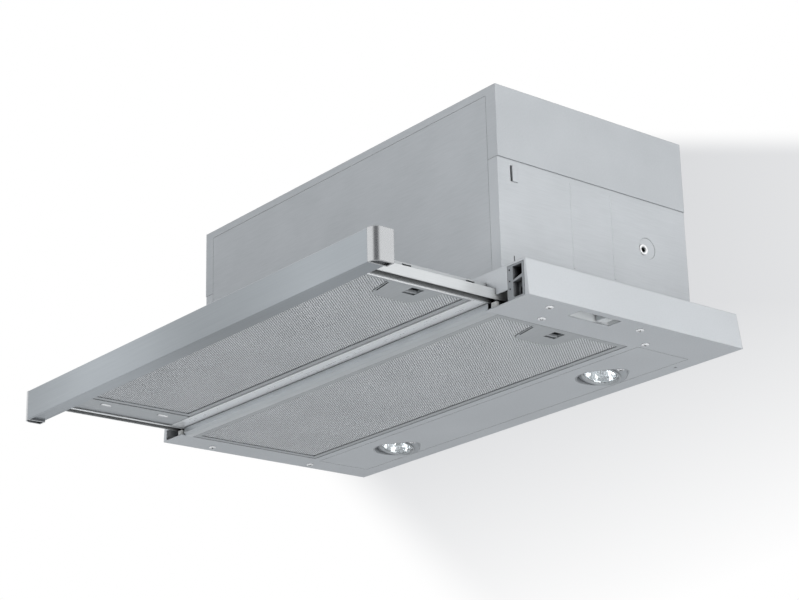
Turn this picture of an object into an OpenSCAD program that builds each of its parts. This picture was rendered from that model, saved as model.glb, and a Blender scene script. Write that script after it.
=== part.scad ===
// Telescopic built-in range hood for a 600 mm wall unit.
// X runs to the right seen from the kitchen, Y to the wall and Z up.
// The drawer stands pulled out. The origin is the centre of the duct spigot,
// level with the top of its flange.

/* [Base] */
// Width of the base across its lower edge
base_w = 598; // [590:1:606]
// Depth of the base without the drawer front
base_d = 278; // [272:1:290]
// Height of the base
base_h = 36; // [35:0.5:42]
// How far each side wall leans in from bottom to top
side_inset = 3.5; // [1:0.5:5]
// Thickness of the sheet steel
sheet = 1; // [0.8:0.1:1.2]
// Width of the bottom strip left of the filter
left_strip_w = 36; // [34:1:40]
// Width of the bottom strip right of the filter
right_strip_w = 59; // [57:1:64]
// Setback of the front cross bar
bar_y = 3; // [2:0.5:5]
// Depth of the cross bar at the front
front_bar_d = 11; // [9:0.5:12]
// Depth of the sheet between the filter and the light panel
mid_bar_d = 9.5; // [8:0.5:12]
// Depth of the light panel window
lamp_window_d = 69; // [66:1:72]
// Depth of the bottom strip behind the light panel
rear_strip_d = 19.5; // [17:0.5:22]

/* [Upper box] */
// Width of the upper box
box_w = 490; // [480:2:500]
// Depth of the upper box
box_d = 250; // [246:1:252]
// Height of the upper box above the base
box_h = 195; // [190:1:220]
// Setback of the upper box from the front of the base
box_front = 18; // [14:1:20]
// Distance of the duct's centre from the front of the base
outlet_y = 115; // [100:1:130]
// Height of the cover's side skirts
skirt_h = 74; // [60:1:90]
// Height of the cover's front and back hems
hem_h = 8; // [6:1:12]
// Width of the flanges folded round the box corners
flange_w = 13; // [10:1:18]
// How far the lower side panels reach up inside the skirts
skirt_lap = 11; // [8:1:14]

/* [Drawer] */
// Travel of the drawer
travel = 152; // [130:1:156]
// Height of the drawer front
fascia_h = 31; // [28:1:36]
// Depth of the drawer front
fascia_d = 21; // [18:1:24]
// How far the drawer front hangs below the base
fascia_drop = 4; // [1:0.5:8]
// Width of each end cap of the drawer front
cap_w = 10; // [8:1:14]
// Wall of the drawer front's tube
fascia_wall = 1.4; // [1:0.1:2]
// Height of the lower edge of the drawer's side walls
tray_low = 8; // [7:0.5:9]
// Height of the upper edge of the drawer's side walls
tray_high = 26.5; // [25.5:0.5:27.5]
// Width of the plain strip at the drawer's left end
drawer_strip_w = 36; // [30:1:42]
// Depth of the bar behind the drawer's filter
rear_bar_d = 17; // [14:1:20]

/* [Runners] */
// Distance between the races' rear ends and the back of the base
runner_back = 26; // [24:1:40]
// Wall of the moving channel
runner_wall = 1.2; // [1:0.1:1.5]
// Outer width of the moving channel
channel_w = 12; // [11.5:0.5:13]
// Height of the moving channel
channel_h = 10; // [9.5:0.5:10.5]
// Width of the mouth's room beside each channel
mouth_room_w = 16; // [12:1:16]
// Diameter of the balls
ball_d = 2.7; // [2.3:0.1:2.8]
// Balls on each side of a cage
ball_count = 8; // [5:1:9]
// Length of the ball cage
cage_len = 88; // [70:1:94]

/* [Filters] */
// Thickness of both grease filters
filter_t = 8; // [6:0.5:8]
// Width of the filter frame's rim
rim_w = 6; // [4:0.5:9]
// Length of the handle plate along the rim
handle_len = 64; // [60:1:72]
// Depth of the handle plate
handle_depth = 42; // [38:1:46]
// Distance from the handle plate's straight edge to the finger opening
finger_inset = 7; // [6:0.5:9]
// Length of the finger opening
finger_len = 16; // [14:0.5:18]
// Width of the finger opening
finger_w = 14; // [12:0.5:18]
// Travel of the latch
latch_travel = 3.5; // [3:0.1:4]

/* [Lamps] */
// Distance between the two lamps
lamp_spacing = 329; // [280:1:350]
// Diameter of the reflector lamp
lamp_d = 35.3; // [34:0.1:37]
// Forward tilt of the lamps in degrees
lamp_tilt = 12; // [0:1:15]
// Radius of the round end of the lamp recess
recess_r = 26; // [24:0.5:28]
// Radius of the narrow end of the lamp recess
tip_r = 11; // [9:0.5:13]
// Distance between the centres of the two ends
tip_reach = 25; // [22:1:28]

/* [Controls] */
// Length of the control recess
control_len = 52; // [48:1:56]
// Width of the control recess
control_w = 17.5; // [14:0.5:18]
// Distance of the control recess from the front of the base
control_front = 70; // [66:1:80]
// Travel of the speed slider
slider_travel = 30; // [24:1:31]

/* [Fan] */
// Outer diameter of the duct spigot
spigot_d = 119; // [110:1:124]
// Height of the duct spigot above its flange
spigot_h = 24; // [20:1:50]
// Outer diameter of the impeller
impeller_d = 128; // [116:1:132]
// Width of the impeller
impeller_w = 124; // [100:2:126]
// Number of blades
blade_count = 36; // [24:1:40]
// Width of the fan housing
scroll_w = 144; // [140:2:160]
// Diameter of the motor
motor_d = 80; // [70:1:84]
// Diameter of the motor shaft
shaft_d = 8; // [6:0.5:10]
// Distance of the fan's axis behind the duct's centre
fan_back = 61; // [56:1:64]
// Height of the fan's axis above the base
fan_up = 96; // [90:1:100]
// Growth of the housing's radius from its tongue to its throat
scroll_extra_r = 34; // [24:1:36]

/* [Hidden] */
$fn = 48;

// Overrun of every cut
over = 0.5;
// Gap between a moving piece and what it passes
gap = 0.5;
// Radial clearance of a turning pin
pin_play = 0.05;

// Places along Y, from the front of the base
filter_y0 = bar_y + front_bar_d + gap;
lamp_y1 = base_d - rear_strip_d;
lamp_y0 = lamp_y1 - lamp_window_d;
filter_y1 = lamp_y0 - mid_bar_d;
filter_window_d = filter_y1 - filter_y0;
front_bar_h = filter_t + gap;
back_inset = 2;

// Places along X
win_x0 = -base_w / 2 + left_strip_w;
win_x1 = base_w / 2 - right_strip_w;
win_half = (win_x1 - win_x0) / 2;
mid_x = (win_x0 + win_x1) / 2;
lamp_window_extra = 5;
lamp_win_x0 = win_x0 - lamp_window_extra;
lamp_win_x1 = win_x1 + lamp_window_extra;

// Places along Z
box_top = base_h + box_h;
collar_flange_t = 2;
origin_z = box_top + collar_flange_t;
skirt_z = box_top - skirt_h;
hem_z = box_top - hem_h;

// Grease filters, whose underside is level with the sheet that carries them
filter_sink = 0.3;
fixed_filter_z = filter_sink;

// Drawer places at rest
closed_gap = 1;
fascia_rear = -(travel + closed_gap);
fascia_front = fascia_rear - fascia_d;
tray_rear = 4;
tray_half = win_half + 2 * sheet;
wall_in = tray_half - sheet;
ledge_w = 3;
ledge_z = fixed_filter_z + filter_t + sheet + gap;
drawer_filter_z = ledge_z + filter_sink;

// Runner places, from the middle line of the drawer
groove_x = tray_half + channel_w / 2;
room_x = tray_half + channel_w + mouth_room_w;
room_z = 12;
runner_top = tray_low + channel_h;
runner_setback = 3;
runner_front = fascia_rear + runner_setback;
race_front = 6;
race_len = base_d - race_front - runner_back;
runner_len = base_d - runner_back - runner_setback + closed_gap;
stop_d = 3;

// Frame of the upper box
box_x = box_w / 2;
box_y1 = box_front + box_d;

// Duct outlet and fan axis
spigot_r = spigot_d / 2;
spigot_wall = 2;
outlet_r = spigot_r - 2 * spigot_wall;
fan_wall = 1.2;
fan_y = outlet_y + fan_back;
fan_z = base_h + fan_up;
scroll_gap = 6;
scroll_r0 = impeller_d / 2 + scroll_gap;
scroll_r1 = scroll_r0 + scroll_extra_r;

// Moves a piece from the base's own corner frame to the part's origin
module placed() translate([0, -outlet_y, -origin_z]) children();

// Box from its lowest corner
module box_at(corner, dims) translate(corner) cube(dims);

// Outline in Y and Z drawn out along X
module along_x(x0, length) translate([x0, 0, 0]) rotate([90, 0, 90]) linear_extrude(length) children();

// Outline in X and Z drawn out along Y
module along_y(y0, length) translate([0, y0 + length, 0]) rotate([90, 0, 0]) linear_extrude(length) children();

// Outline in X and Y drawn out along Z
module along_z(z0, length) translate([0, 0, z0]) linear_extrude(length) children();

// Round bars along the three axes
module rod_x(start, r, length) translate(start) rotate([0, 90, 0]) cylinder(r = r, h = length);
module rod_y(start, r, length) translate(start) rotate([-90, 0, 0]) cylinder(r = r, h = length);
module rod_z(start, r, length) translate(start) cylinder(r = r, h = length);

// Copies of a piece on both sides of the drawer's middle line
module right_of_drawer() translate([mid_x, 0, 0]) children();
module left_of_drawer() translate([mid_x, 0, 0]) mirror([1, 0, 0]) children();

// Half width of the base's outside at a height
function base_side(z) = base_w / 2 - side_inset * z / base_h;

// Depth of the base's outside at a height
function base_back(z) = base_d - back_inset * z / base_h;

// Leaning block between two heights, shrunk by a wall
module leaning_block(wall, y0, z0, z1) {
    intersection() {
        along_y(y0, base_d - y0) polygon([
            [-base_side(z0) + wall, z0], [base_side(z0) - wall, z0],
            [base_side(z1) - wall, z1], [-base_side(z1) + wall, z1]
        ]);
        along_x(-base_w / 2, base_w) polygon([
            [y0, z0], [base_back(z0) - wall, z0], [base_back(z1) - wall, z1], [y0, z1]
        ]);
    }
}

// Base

// Screw places in the bottom strips, and the radius of their holes
strip_screw_r = 2.1;
right_screw_shift = 7;
left_screw_shift = 14;
right_rail_screw_x = mid_x + groove_x + right_screw_shift;
left_rail_screw_x = mid_x - groove_x - left_screw_shift;
control_screw_inset = 16;
control_screw_x = base_w / 2 - control_screw_inset;
rail_screw_y0 = 55;
rail_screw_y1 = 189;
control_screw_y0 = 39;
control_screw_y1 = 154;
strip_screws = [
    [right_rail_screw_x, rail_screw_y0], [right_rail_screw_x, rail_screw_y1],
    [left_rail_screw_x, rail_screw_y0], [left_rail_screw_x, rail_screw_y1],
    [control_screw_x, control_screw_y0], [control_screw_x, control_screw_y1]
];

// End block in the right front corner
end_block_x0 = mid_x + room_x + 2 * gap;
end_block_d = 16;
end_block_z1 = base_h - 2 * sheet;

// Control recess in the right strip
control_inset = 8;
control_x1 = base_w / 2 - control_inset;
control_x0 = control_x1 - control_w;
control_y1 = control_front + control_len;

// Window in the base's top that the upper box stands through, with its feet folded under the edge
seam = 0.2;
foot_z = base_h - 2 * sheet;
box_foot = 5;

// Fixing hole in the rear flange
rear_hole_x = 218;
rear_hole_inset = 10;
rear_hole_r = 1.5;

// Mouth that the drawer and its runners pass through
module drawer_mouth() {
    channel_z = runner_top + gap;
    tray_z = tray_high + gap;
    outer = room_x + gap;
    middle = tray_half + channel_w + gap;
    inner = tray_half + gap;
    translate([mid_x, 0, 0]) along_y(-over, sheet + 2 * over) polygon([
        [-outer, sheet], [outer, sheet], [outer, room_z], [middle, room_z],
        [middle, channel_z], [inner, channel_z], [inner, tray_z], [-inner, tray_z],
        [-inner, channel_z], [-middle, channel_z], [-middle, room_z], [-outer, room_z]
    ]);
}

module base_tray() placed() color("silver") difference() {
    leaning_block(0, 0, 0, base_h);
    leaning_block(sheet, sheet, sheet, base_h - sheet);
    drawer_mouth();
    // Filter window, open to the front for the cross bar
    box_at([win_x0, -over, -over], [2 * win_half, filter_y1 + over, sheet + 2 * over]);
    box_at([lamp_win_x0, lamp_y0, -over], [lamp_win_x1 - lamp_win_x0, lamp_window_d, sheet + 2 * over]);
    // Window round the upper box
    box_at(
        [sheet - seam - box_x, box_front - seam, base_h - sheet - over],
        [box_w - 2 * (sheet - seam), box_d + 2 * seam, sheet + 2 * over]
    );
    // Seat of the end block
    box_at(
        [end_block_x0, -over, sheet],
        [base_side(base_h) - 2 * sheet - end_block_x0, sheet + 2 * over, end_block_z1 - sheet]
    );
    // Window of the control recess
    box_at([control_x0, control_front, -over], [control_w, control_len, sheet + 2 * over]);
    for (place = strip_screws) rod_z([place[0], place[1], -over], strip_screw_r, sheet + 2 * over);
    rod_z([rear_hole_x, base_d - rear_hole_inset, -over], rear_hole_r, sheet + 2 * over);
}

// Folded bar that closes the front of the filter window
module front_cross_bar() placed() color("gainsboro") {
    fold = 2.5;
    y1 = bar_y + front_bar_d;
    along_x(win_x0, 2 * win_half) polygon([
        [bar_y, fold], [bar_y + fold, 0], [y1, 0], [y1, front_bar_h],
        [y1 - sheet, front_bar_h], [y1 - sheet, sheet],
        [bar_y + fold + sheet / 2, sheet], [bar_y + sheet, fold + sheet / 2],
        [bar_y + sheet, front_bar_h], [bar_y, front_bar_h]
    ]);
}

// Channel that stiffens the sheet between the filter and the light panel
module middle_stiffener() placed() color("silver") {
    stiffener_h = 9;
    side_gap = 1;
    y0 = filter_y1 + side_gap;
    y1 = lamp_y0 - side_gap;
    z1 = sheet + stiffener_h;
    along_x(win_x0, 2 * win_half) polygon([
        [y0, sheet], [y1, sheet], [y1, z1], [y1 - sheet, z1],
        [y1 - sheet, 2 * sheet], [y0 + sheet, 2 * sheet], [y0 + sheet, z1], [y0, z1]
    ]);
}

// Moulded block with its two pockets and small core holes
module end_block_right() placed() color("darkgray") {
    clear = 0.3;
    x0 = end_block_x0 + clear;
    z0 = sheet;
    z1 = end_block_z1 - clear;
    x1_low = base_side(z0) - 2 * sheet - clear - side_inset;
    block_w = x1_low - x0;
    wall = 1.6;
    column_w = block_w / 4;
    pocket_x0 = x0 + column_w + wall;
    pocket_x1 = x1_low - wall - sheet;
    rib_z = (z0 + z1) / 2;
    core_r = 0.9;
    core_shares = [0.32, 0.55, 0.88];
    pocket_d = end_block_d - 2 * wall;
    rim = 3.2;
    slope = 4.8;
    slot_w = 2.4;
    slot_h = 7.5;
    difference() {
        box_at([x0, 0, z0], [block_w, end_block_d, z1 - z0]);
        // Upper pocket over a sloping rib
        along_y(-over, pocket_d + over) polygon([
            [pocket_x0, rib_z + wall], [pocket_x1, rib_z + slope], [pocket_x1, z1 - wall], [pocket_x0, z1 - wall]
        ]);
        // Lower pocket
        along_y(-over, pocket_d / 2 + over) polygon([
            [pocket_x0, z0 + rim], [pocket_x0 + wall, z0 + wall], [pocket_x1, z0 + wall],
            [pocket_x1, rib_z + wall], [pocket_x0, rib_z]
        ]);
        // Tall slot in the lower pocket
        box_at([pocket_x0 + rim, -over, z0 + slope], [slot_w, pocket_d + over, slot_h]);
        for (share = core_shares) rod_y([x0 + column_w / 2, -over, z0 + share * (z1 - z0)], core_r, pocket_d);
    }
}

// Upper box

// Shallow features of the side panels, from the front of the box and the base
louver_y = 17;
louver_z = base_h + 99;
louver_h = 16;
louver_r = 4;
slit_y = 16;
slit_z = base_h + 16;
slit_h = 8;
bead_y0 = 93;
bead_y1 = 147;
bead_z = base_h + 28;
bead_h = 87;
bead_r = 1;
dimple_y = 194;
dimple_z = base_h + 70;
dimple_r = 11;
fixing_r = 2.5;
fixing_y = 189;
fixing_z = base_h + 68;

// Side panel, drawn as the right one
module side_panel() {
    x1 = box_x - sheet;
    y0 = box_front + sheet;
    y1 = box_y1 - sheet;
    top = skirt_z + skirt_lap;
    dimple_depth = 1;
    difference() {
        union() {
            box_at([x1 - sheet, y0, foot_z], [sheet, y1 - y0, top - foot_z]);
            // Flanges round the front and rear corners
            box_at([x1 - flange_w, box_front, foot_z], [flange_w, sheet, skirt_z - gap / 2 - foot_z]);
            box_at([x1 - flange_w, y1, foot_z], [flange_w, sheet, skirt_z - gap / 2 - foot_z]);
            // Foot under the top of the base
            box_at([x1 - sheet, y0, foot_z], [flange_w, y1 - y0, sheet]);
            // Shallow vertical beads
            for (y = [bead_y0, bead_y1]) rod_z([x1 - bead_r / 2, box_front + y, bead_z], bead_r, bead_h);
            // Bulge of the lanced louver
            difference() {
                rod_z([x1 - sheet, box_front + louver_y + louver_r, louver_z], louver_r, louver_h);
                box_at(
                    [x1 - sheet - louver_h, box_front, louver_z - over], [louver_h, 2 * louver_h, louver_h + 2 * over]
                );
                box_at([x1 + sheet, box_front, louver_z - over], [louver_h, 2 * louver_h, louver_h + 2 * over]);
            }
        }
        // Louver slot and slit
        box_at(
            [x1 - sheet - over, box_front + louver_y - sheet, louver_z], [2 * sheet + 2 * over, 2 * sheet, louver_h]
        );
        box_at([x1 - sheet - over, box_front + slit_y, slit_z], [sheet + 2 * over, sheet, slit_h]);
        // Dimple with the fixing hole
        rod_x([x1 - dimple_depth / 2, box_front + dimple_y, dimple_z], dimple_r, dimple_depth);
        rod_x([x1 - sheet - over, box_front + fixing_y, fixing_z], fixing_r, sheet + 2 * over);
    }
}

module side_panel_right() placed() color("lightgray") side_panel();
module side_panel_left() placed() color("lightgray") mirror([1, 0, 0]) side_panel();

// Flat panel between the corner flanges, with a folded foot
module box_wall(y0, foot_y0) {
    x1 = box_x - sheet - flange_w - gap / 2;
    box_at([-x1, y0, foot_z], [2 * x1, sheet, hem_z - gap / 2 - foot_z]);
    box_at([-x1, foot_y0, foot_z], [2 * x1, box_foot + sheet, sheet]);
}

module front_panel() placed() color("lightgray") box_wall(box_front, box_front - box_foot);
module back_panel() placed() color("lightgray") box_wall(box_y1 - sheet, box_y1 - sheet);

// Where the mains cable enters the cover
gland_x = 200;
gland_y = box_y1 - 34;
gland_hole_r = 8;

module top_cover() placed() color("silver") difference() {
    union() {
        box_at([-box_x, box_front, box_top - sheet], [box_w, box_d, sheet]);
        // Side skirts
        for (x = [-box_x, box_x - sheet]) box_at([x, box_front, skirt_z], [sheet, box_d, skirt_h]);
        // Front and back hems
        for (y = [box_front, box_y1 - sheet]) box_at([-box_x, y, hem_z], [box_w, sheet, hem_h]);
        // Corner flanges
        for (x = [-box_x, box_x - sheet - flange_w], y = [box_front, box_y1 - sheet])
            box_at([x, y, skirt_z], [flange_w + sheet, sheet, skirt_h]);
    }
    rod_z([0, outlet_y, box_top - sheet - over], outlet_r, sheet + 2 * over);
    rod_z([gland_x, gland_y, box_top - sheet - over], gland_hole_r, sheet + 2 * over);
}

// Duct spigot

flap_pin_r = 1.5;
flap_pin_z = origin_z + 7;
flap_t = 1;
knuckle_r = 3;
knuckle_count = 4;
flap_play = 0.6;
flap_edge = 5;

// Spigot with its flange, flap stop and hinge pin
module outlet_collar() placed() color("dimgray") {
    flange_w = 14;
    screw_inset = 6;
    inner_r = spigot_r - spigot_wall;
    screw_count = 4;
    first_screw = 45;
    difference() {
        union() {
            rod_z([0, outlet_y, box_top], spigot_r + flange_w, collar_flange_t);
            rod_z([0, outlet_y, box_top], spigot_r, collar_flange_t + spigot_h);
        }
        rod_z([0, outlet_y, box_top - over], outlet_r, spigot_h);
        rod_z([0, outlet_y, flap_pin_z - flap_t / 2 - flap_play], inner_r, 2 * spigot_h);
        for (i = [0 : screw_count - 1]) rotate_about(outlet_y, first_screw + i * 360 / screw_count)
            rod_z([spigot_r + flange_w - screw_inset, 0, box_top - over], fixing_r, collar_flange_t + 2 * over);
    }
    rod_x([-inner_r - sheet, outlet_y, flap_pin_z], flap_pin_r, 2 * (inner_r + sheet));
}

// Turns a piece about the upright through a place on the middle line
module rotate_about(y, angle) translate([0, y, 0]) rotate([0, 0, angle]) children();

// Half-round flap with its share of the hinge knuckles
module flap(first) {
    r = spigot_r - spigot_wall - 2 * flap_play;
    knuckle_w = 2 * (r - spigot_wall) / (knuckle_count + 1);
    bore_r = flap_pin_r + pin_play;
    difference() {
        union() {
            intersection() {
                rod_z([0, 0, -flap_t / 2], r, flap_t);
                box_at([-r, flap_edge, -flap_t], [2 * r, r, 2 * flap_t]);
            }
            for (i = [first : 2 : knuckle_count]) {
                x = -r + spigot_wall + i * knuckle_w + flap_play / 2;
                rod_x([x, 0, 0], knuckle_r, knuckle_w - flap_play);
                box_at([x, 0, -flap_t / 2], [knuckle_w - flap_play, flap_edge + flap_t, flap_t]);
            }
        }
        rod_x([-2 * r, 0, 0], bore_r, 4 * r);
    }
}

module flap_rear() placed() color("gray") translate([0, outlet_y, flap_pin_z]) flap(0);
module flap_front() placed() color("gray") translate([0, outlet_y, flap_pin_z]) mirror([0, 1, 0]) flap(1);

// Fan

// Growing radius of the housing round the impeller, by angle from the rear
scroll_start = 80;
scroll_end = -180;
scroll_steps = 32;
throat_h = 28;
function scroll_r(a) = scroll_r0 + (scroll_r1 - scroll_r0) * (scroll_start - a) / (scroll_start - scroll_end);

// Outline of the housing in Y and Z, shrunk by an inset
module scroll_outline(inset) {
    step = (scroll_end - scroll_start) / scroll_steps;
    throat_half = spigot_r + spigot_wall - inset;
    throat_z = box_top - throat_h;
    polygon(concat(
        [for (i = [0 : scroll_steps]) let (a = scroll_start + i * step, r = scroll_r(a) - inset)
            [fan_y + r * cos(a), fan_z + r * sin(a)]],
        [[outlet_y - throat_half, throat_z], [outlet_y - throat_half, box_top - sheet],
         [outlet_y + throat_half, box_top - sheet], [outlet_y + throat_half, throat_z - inset]]
    ));
}

module scroll_shell() placed() color("darkgray") difference() {
    along_x(-scroll_w / 2, scroll_w) scroll_outline(0);
    along_x(-scroll_w / 2 - over, scroll_w + 2 * over) scroll_outline(fan_wall);
    // Open throat under the spigot
    box_at(
        [-scroll_w, outlet_y - spigot_r - spigot_wall + fan_wall, box_top - 2 * sheet - over],
        [2 * scroll_w, 2 * (spigot_r + spigot_wall - fan_wall), 2 * sheet + over]
    );
}

inlet_inset = 10;
inlet_r = impeller_d / 2 - inlet_inset;

// Cheek of the housing with its rolled inlet, drawn as the right one
module scroll_plate() {
    x0 = scroll_w / 2;
    lip = 5;
    difference() {
        union() {
            along_x(x0, fan_wall) scroll_outline(0);
            rod_x([x0 - lip, fan_y, fan_z], inlet_r + fan_wall, lip);
        }
        rod_x([x0 - lip - over, fan_y, fan_z], inlet_r, lip + fan_wall + 2 * over);
    }
}

module scroll_plate_right() placed() color("darkgray") scroll_plate();
module scroll_plate_left() placed() color("darkgray") mirror([1, 0, 0]) scroll_plate();

// Double-inlet drum with forward-curved blades on a centre disc
blade_rim = 1;
blade_depth = 10;
blade_out = impeller_d / 2 - blade_rim;
blade_in = blade_out - blade_depth;
blade_t = 1;
blade_steps = 5;
ring_t = 2;
hub_r = 11;
hub_len = 18;
disc_x = -8;

// Place on a blade's curve, leaning forward towards the tip
blade_lean = 12;
function blade_point(share, side) =
    let (r = blade_in + (blade_out - blade_in) * share, a = blade_lean * share * share)
    [r * cos(a) - side * sin(a), r * sin(a) + side * cos(a)];

module blade_outline() polygon(concat(
    [for (i = [0 : blade_steps]) blade_point(i / blade_steps, blade_t / 2)],
    [for (i = [blade_steps : -1 : 0]) blade_point(i / blade_steps, -blade_t / 2)]
));

module impeller() placed() color("white") translate([0, fan_y, fan_z]) {
    ring_in = blade_in + blade_t;
    half = impeller_w / 2;
    difference() {
        union() {
            for (x = [-half, half - ring_t]) difference() {
                rod_x([x, 0, 0], impeller_d / 2, ring_t);
                rod_x([x - over, 0, 0], ring_in, ring_t + 2 * over);
            }
            rod_x([disc_x, 0, 0], blade_out, ring_t);
            rod_x([disc_x - hub_len / 2, 0, 0], hub_r, hub_len / 2);
            for (i = [0 : blade_count - 1]) rotate([i * 360 / blade_count, 0, 0])
                translate([-half, 0, 0]) rotate([90, 0, 90]) linear_extrude(impeller_w) blade_outline();
        }
        rod_x([-half, 0, 0], shaft_d / 2, impeller_w);
    }
}

bracket_x = scroll_w / 2 + fan_wall;
bracket_t = 3;

module motor_shaft() placed() color("silver")
    rod_x([disc_x - hub_len / 2, fan_y, fan_z], shaft_d / 2, bracket_x - disc_x + hub_len / 2);

module motor_body() placed() color("dimgray") translate([0, fan_y, fan_z]) {
    disc_gap = 6;
    shield_len = 12;
    shield_step = 4;
    x0 = disc_x + ring_t + disc_gap;
    r = motor_d / 2;
    difference() {
        union() {
            // End shields and the stack between them
            rod_x([x0, 0, 0], r - shield_step, bracket_x - x0);
            rod_x([x0 + shield_len, 0, 0], r, bracket_x - x0 - 2 * shield_len);
        }
        rod_x([x0 - over, 0, 0], shaft_d / 2 + pin_play, bracket_x - x0 + 2 * over);
    }
}

// Three-armed bracket across the right inlet
module motor_bracket() placed() color("silver") translate([0, fan_y, fan_z]) {
    arm_w = 12;
    arm_count = 3;
    first_arm = 30;
    ring_w = 10;
    ring_play = 2;
    ring_hole = inlet_r + ring_play;
    centre_r = 27;
    difference() {
        union() {
            difference() {
                rod_x([bracket_x, 0, 0], ring_hole + ring_w, bracket_t);
                rod_x([bracket_x - over, 0, 0], ring_hole, bracket_t + 2 * over);
            }
            rod_x([bracket_x, 0, 0], centre_r, bracket_t);
            for (i = [0 : arm_count - 1]) rotate([first_arm + i * 360 / arm_count, 0, 0])
                box_at([bracket_x, -arm_w / 2, 0], [bracket_t, arm_w, ring_hole + sheet]);
        }
        rod_x([bracket_x - over, 0, 0], shaft_d / 2 + sheet, bracket_t + 2 * over);
    }
}

// Motor capacitor clipped to the left cheek
module capacitor() placed() color("whitesmoke") {
    r = 14;
    length = 62;
    stud_r = 4;
    stud_len = 10;
    forward = 8;
    up = 120;
    x = -scroll_w / 2 - fan_wall - r - sheet;
    translate([x, outlet_y - forward, base_h + up]) {
        rod_z([0, 0, 0], r, length);
        // Saddle against the cheek
        box_at([0, -r / 2, r], [r + sheet, r, 2 * r]);
        rod_z([0, 0, -stud_len], stud_r, stud_len);
    }
}

// Electrical pieces on the right side panel

terminal_w = 60;
terminal_t = 34;
terminal_h = 46;
terminal_forward = 84;
terminal_up = 112;
terminal_y = box_y1 - terminal_forward;
terminal_z = base_h + terminal_up;
terminal_wall = 2;
lid_t = 2.5;

module terminal_box() placed() color("dimgray") {
    x1 = box_x - 2 * sheet;
    x0 = x1 - terminal_t;
    difference() {
        box_at([x0, terminal_y, terminal_z], [terminal_t, terminal_w, terminal_h]);
        box_at(
            [x0 - over, terminal_y + terminal_wall, terminal_z + terminal_wall],
            [terminal_t - terminal_wall + over, terminal_w - 2 * terminal_wall, terminal_h - 2 * terminal_wall]
        );
    }
    // Terminal strip on the floor of the box
    strip_h = 12;
    strip_inset = 6;
    box_at(
        [x1 - terminal_wall - strip_h, terminal_y + strip_inset, terminal_z + strip_h],
        [strip_h + terminal_wall / 2, terminal_w - 2 * strip_inset, strip_h]
    );
}

module terminal_box_lid() placed() color("gray") {
    x0 = box_x - 2 * sheet - terminal_t - lid_t;
    rim = 3;
    play = 0.2;
    inset = terminal_wall + play;
    box_at([x0, terminal_y, terminal_z], [lid_t, terminal_w, terminal_h]);
    difference() {
        box_at(
            [x0 + lid_t, terminal_y + inset, terminal_z + inset], [rim, terminal_w - 2 * inset, terminal_h - 2 * inset]
        );
        box_at(
            [x0 + lid_t, terminal_y + 2 * inset, terminal_z + 2 * inset],
            [rim + over, terminal_w - 4 * inset, terminal_h - 4 * inset]
        );
    }
}

// Lamp transformer on the back panel
module transformer() placed() color("black") {
    w = 66;
    d = 44;
    core_h = 40;
    coil_h = 30;
    x0 = 120;
    up = 12;
    coil_inset = 13;
    coil_out = 3;
    y1 = box_y1 - sheet;
    z0 = base_h + up;
    // Laminated core, winding and lugs
    box_at([x0, y1 - d, z0], [w, d, core_h]);
    box_at([x0 + coil_inset, y1 - d - coil_out, z0 + (core_h - coil_h) / 2], [w - 2 * coil_inset, d, coil_h]);
    box_at([x0 - flange_w, y1 - sheet, z0 + (core_h - flange_w) / 2], [w + 2 * flange_w, sheet, flange_w]);
}

// Cable gland in the top cover
module cable_gland() placed() color("black") translate([gland_x, gland_y, 0]) {
    cable_r = 4;
    hex_r = 12;
    hex_h = 6;
    dome_h = 10;
    thread_len = 8;
    six = 6;
    difference() {
        union() {
            rod_z([0, 0, box_top - thread_len], gland_hole_r - pin_play, thread_len);
            translate([0, 0, box_top]) cylinder(r = hex_r, h = hex_h, $fn = six);
            rod_z([0, 0, box_top + hex_h], hex_r - 2 * sheet, dome_h);
            // Lock nut under the cover
            translate([0, 0, box_top - sheet - hex_h]) cylinder(r = hex_r, h = hex_h, $fn = six);
        }
        rod_z([0, 0, box_top - 2 * hex_h], cable_r, 2 * hex_h + hex_h + dome_h + over);
    }
}

// Lights

panel_gap = 0.5;
lamp_back = 7;
lamp_shift = 2.5;
lamp_x = mid_x - lamp_shift;
lamp_y = (lamp_y0 + lamp_y1) / 2 + lamp_back;
lamp_z = 3;

// Teardrop outline round a lamp, with its tip to the right
module teardrop(grow) {
    r1 = recess_r + grow;
    r2 = tip_r + grow;
    a = acos((r1 - r2) / tip_reach);
    circle(r1);
    translate([tip_reach, 0]) circle(r2);
    polygon([
        [r1 * cos(a), -r1 * sin(a)], [tip_reach + r2 * cos(a), -r2 * sin(a)],
        [tip_reach + r2 * cos(a), r2 * sin(a)], [r1 * cos(a), r1 * sin(a)]
    ]);
}

module each_lamp(side) translate([lamp_x + side * lamp_spacing / 2, lamp_y, 0]) children();

module light_panel() placed() color("silver") {
    x0 = lamp_win_x0 + panel_gap;
    x1 = lamp_win_x1 - panel_gap;
    y0 = lamp_y0 + panel_gap;
    depth = lamp_window_d - 2 * panel_gap;
    hem = 7;
    difference() {
        box_at([x0, y0, 0], [x1 - x0, depth, hem]);
        box_at([x0 + sheet, y0 + sheet, sheet], [x1 - x0 - 2 * sheet, depth - 2 * sheet, hem]);
        for (side = [-1, 1]) each_lamp(side) {
            along_z(-over, sheet + 2 * over) teardrop(0);
            // Notch in the hem for the housing's flange
            along_z(sheet, hem) teardrop(housing_flange + lamp_play);
        }
    }
}

// Tilted frame of one lamp, its opening centred on the recess floor
module tilted() translate([0, 0, lamp_z]) rotate([-lamp_tilt, 0, 0]) children();

housing_wall = 1.2;
ring_w = 2.6;
ring_r = lamp_d / 2 + ring_w;
lamp_play = 0.2;
lamp_screw_shift = 4;
housing_flange = 3;

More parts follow.
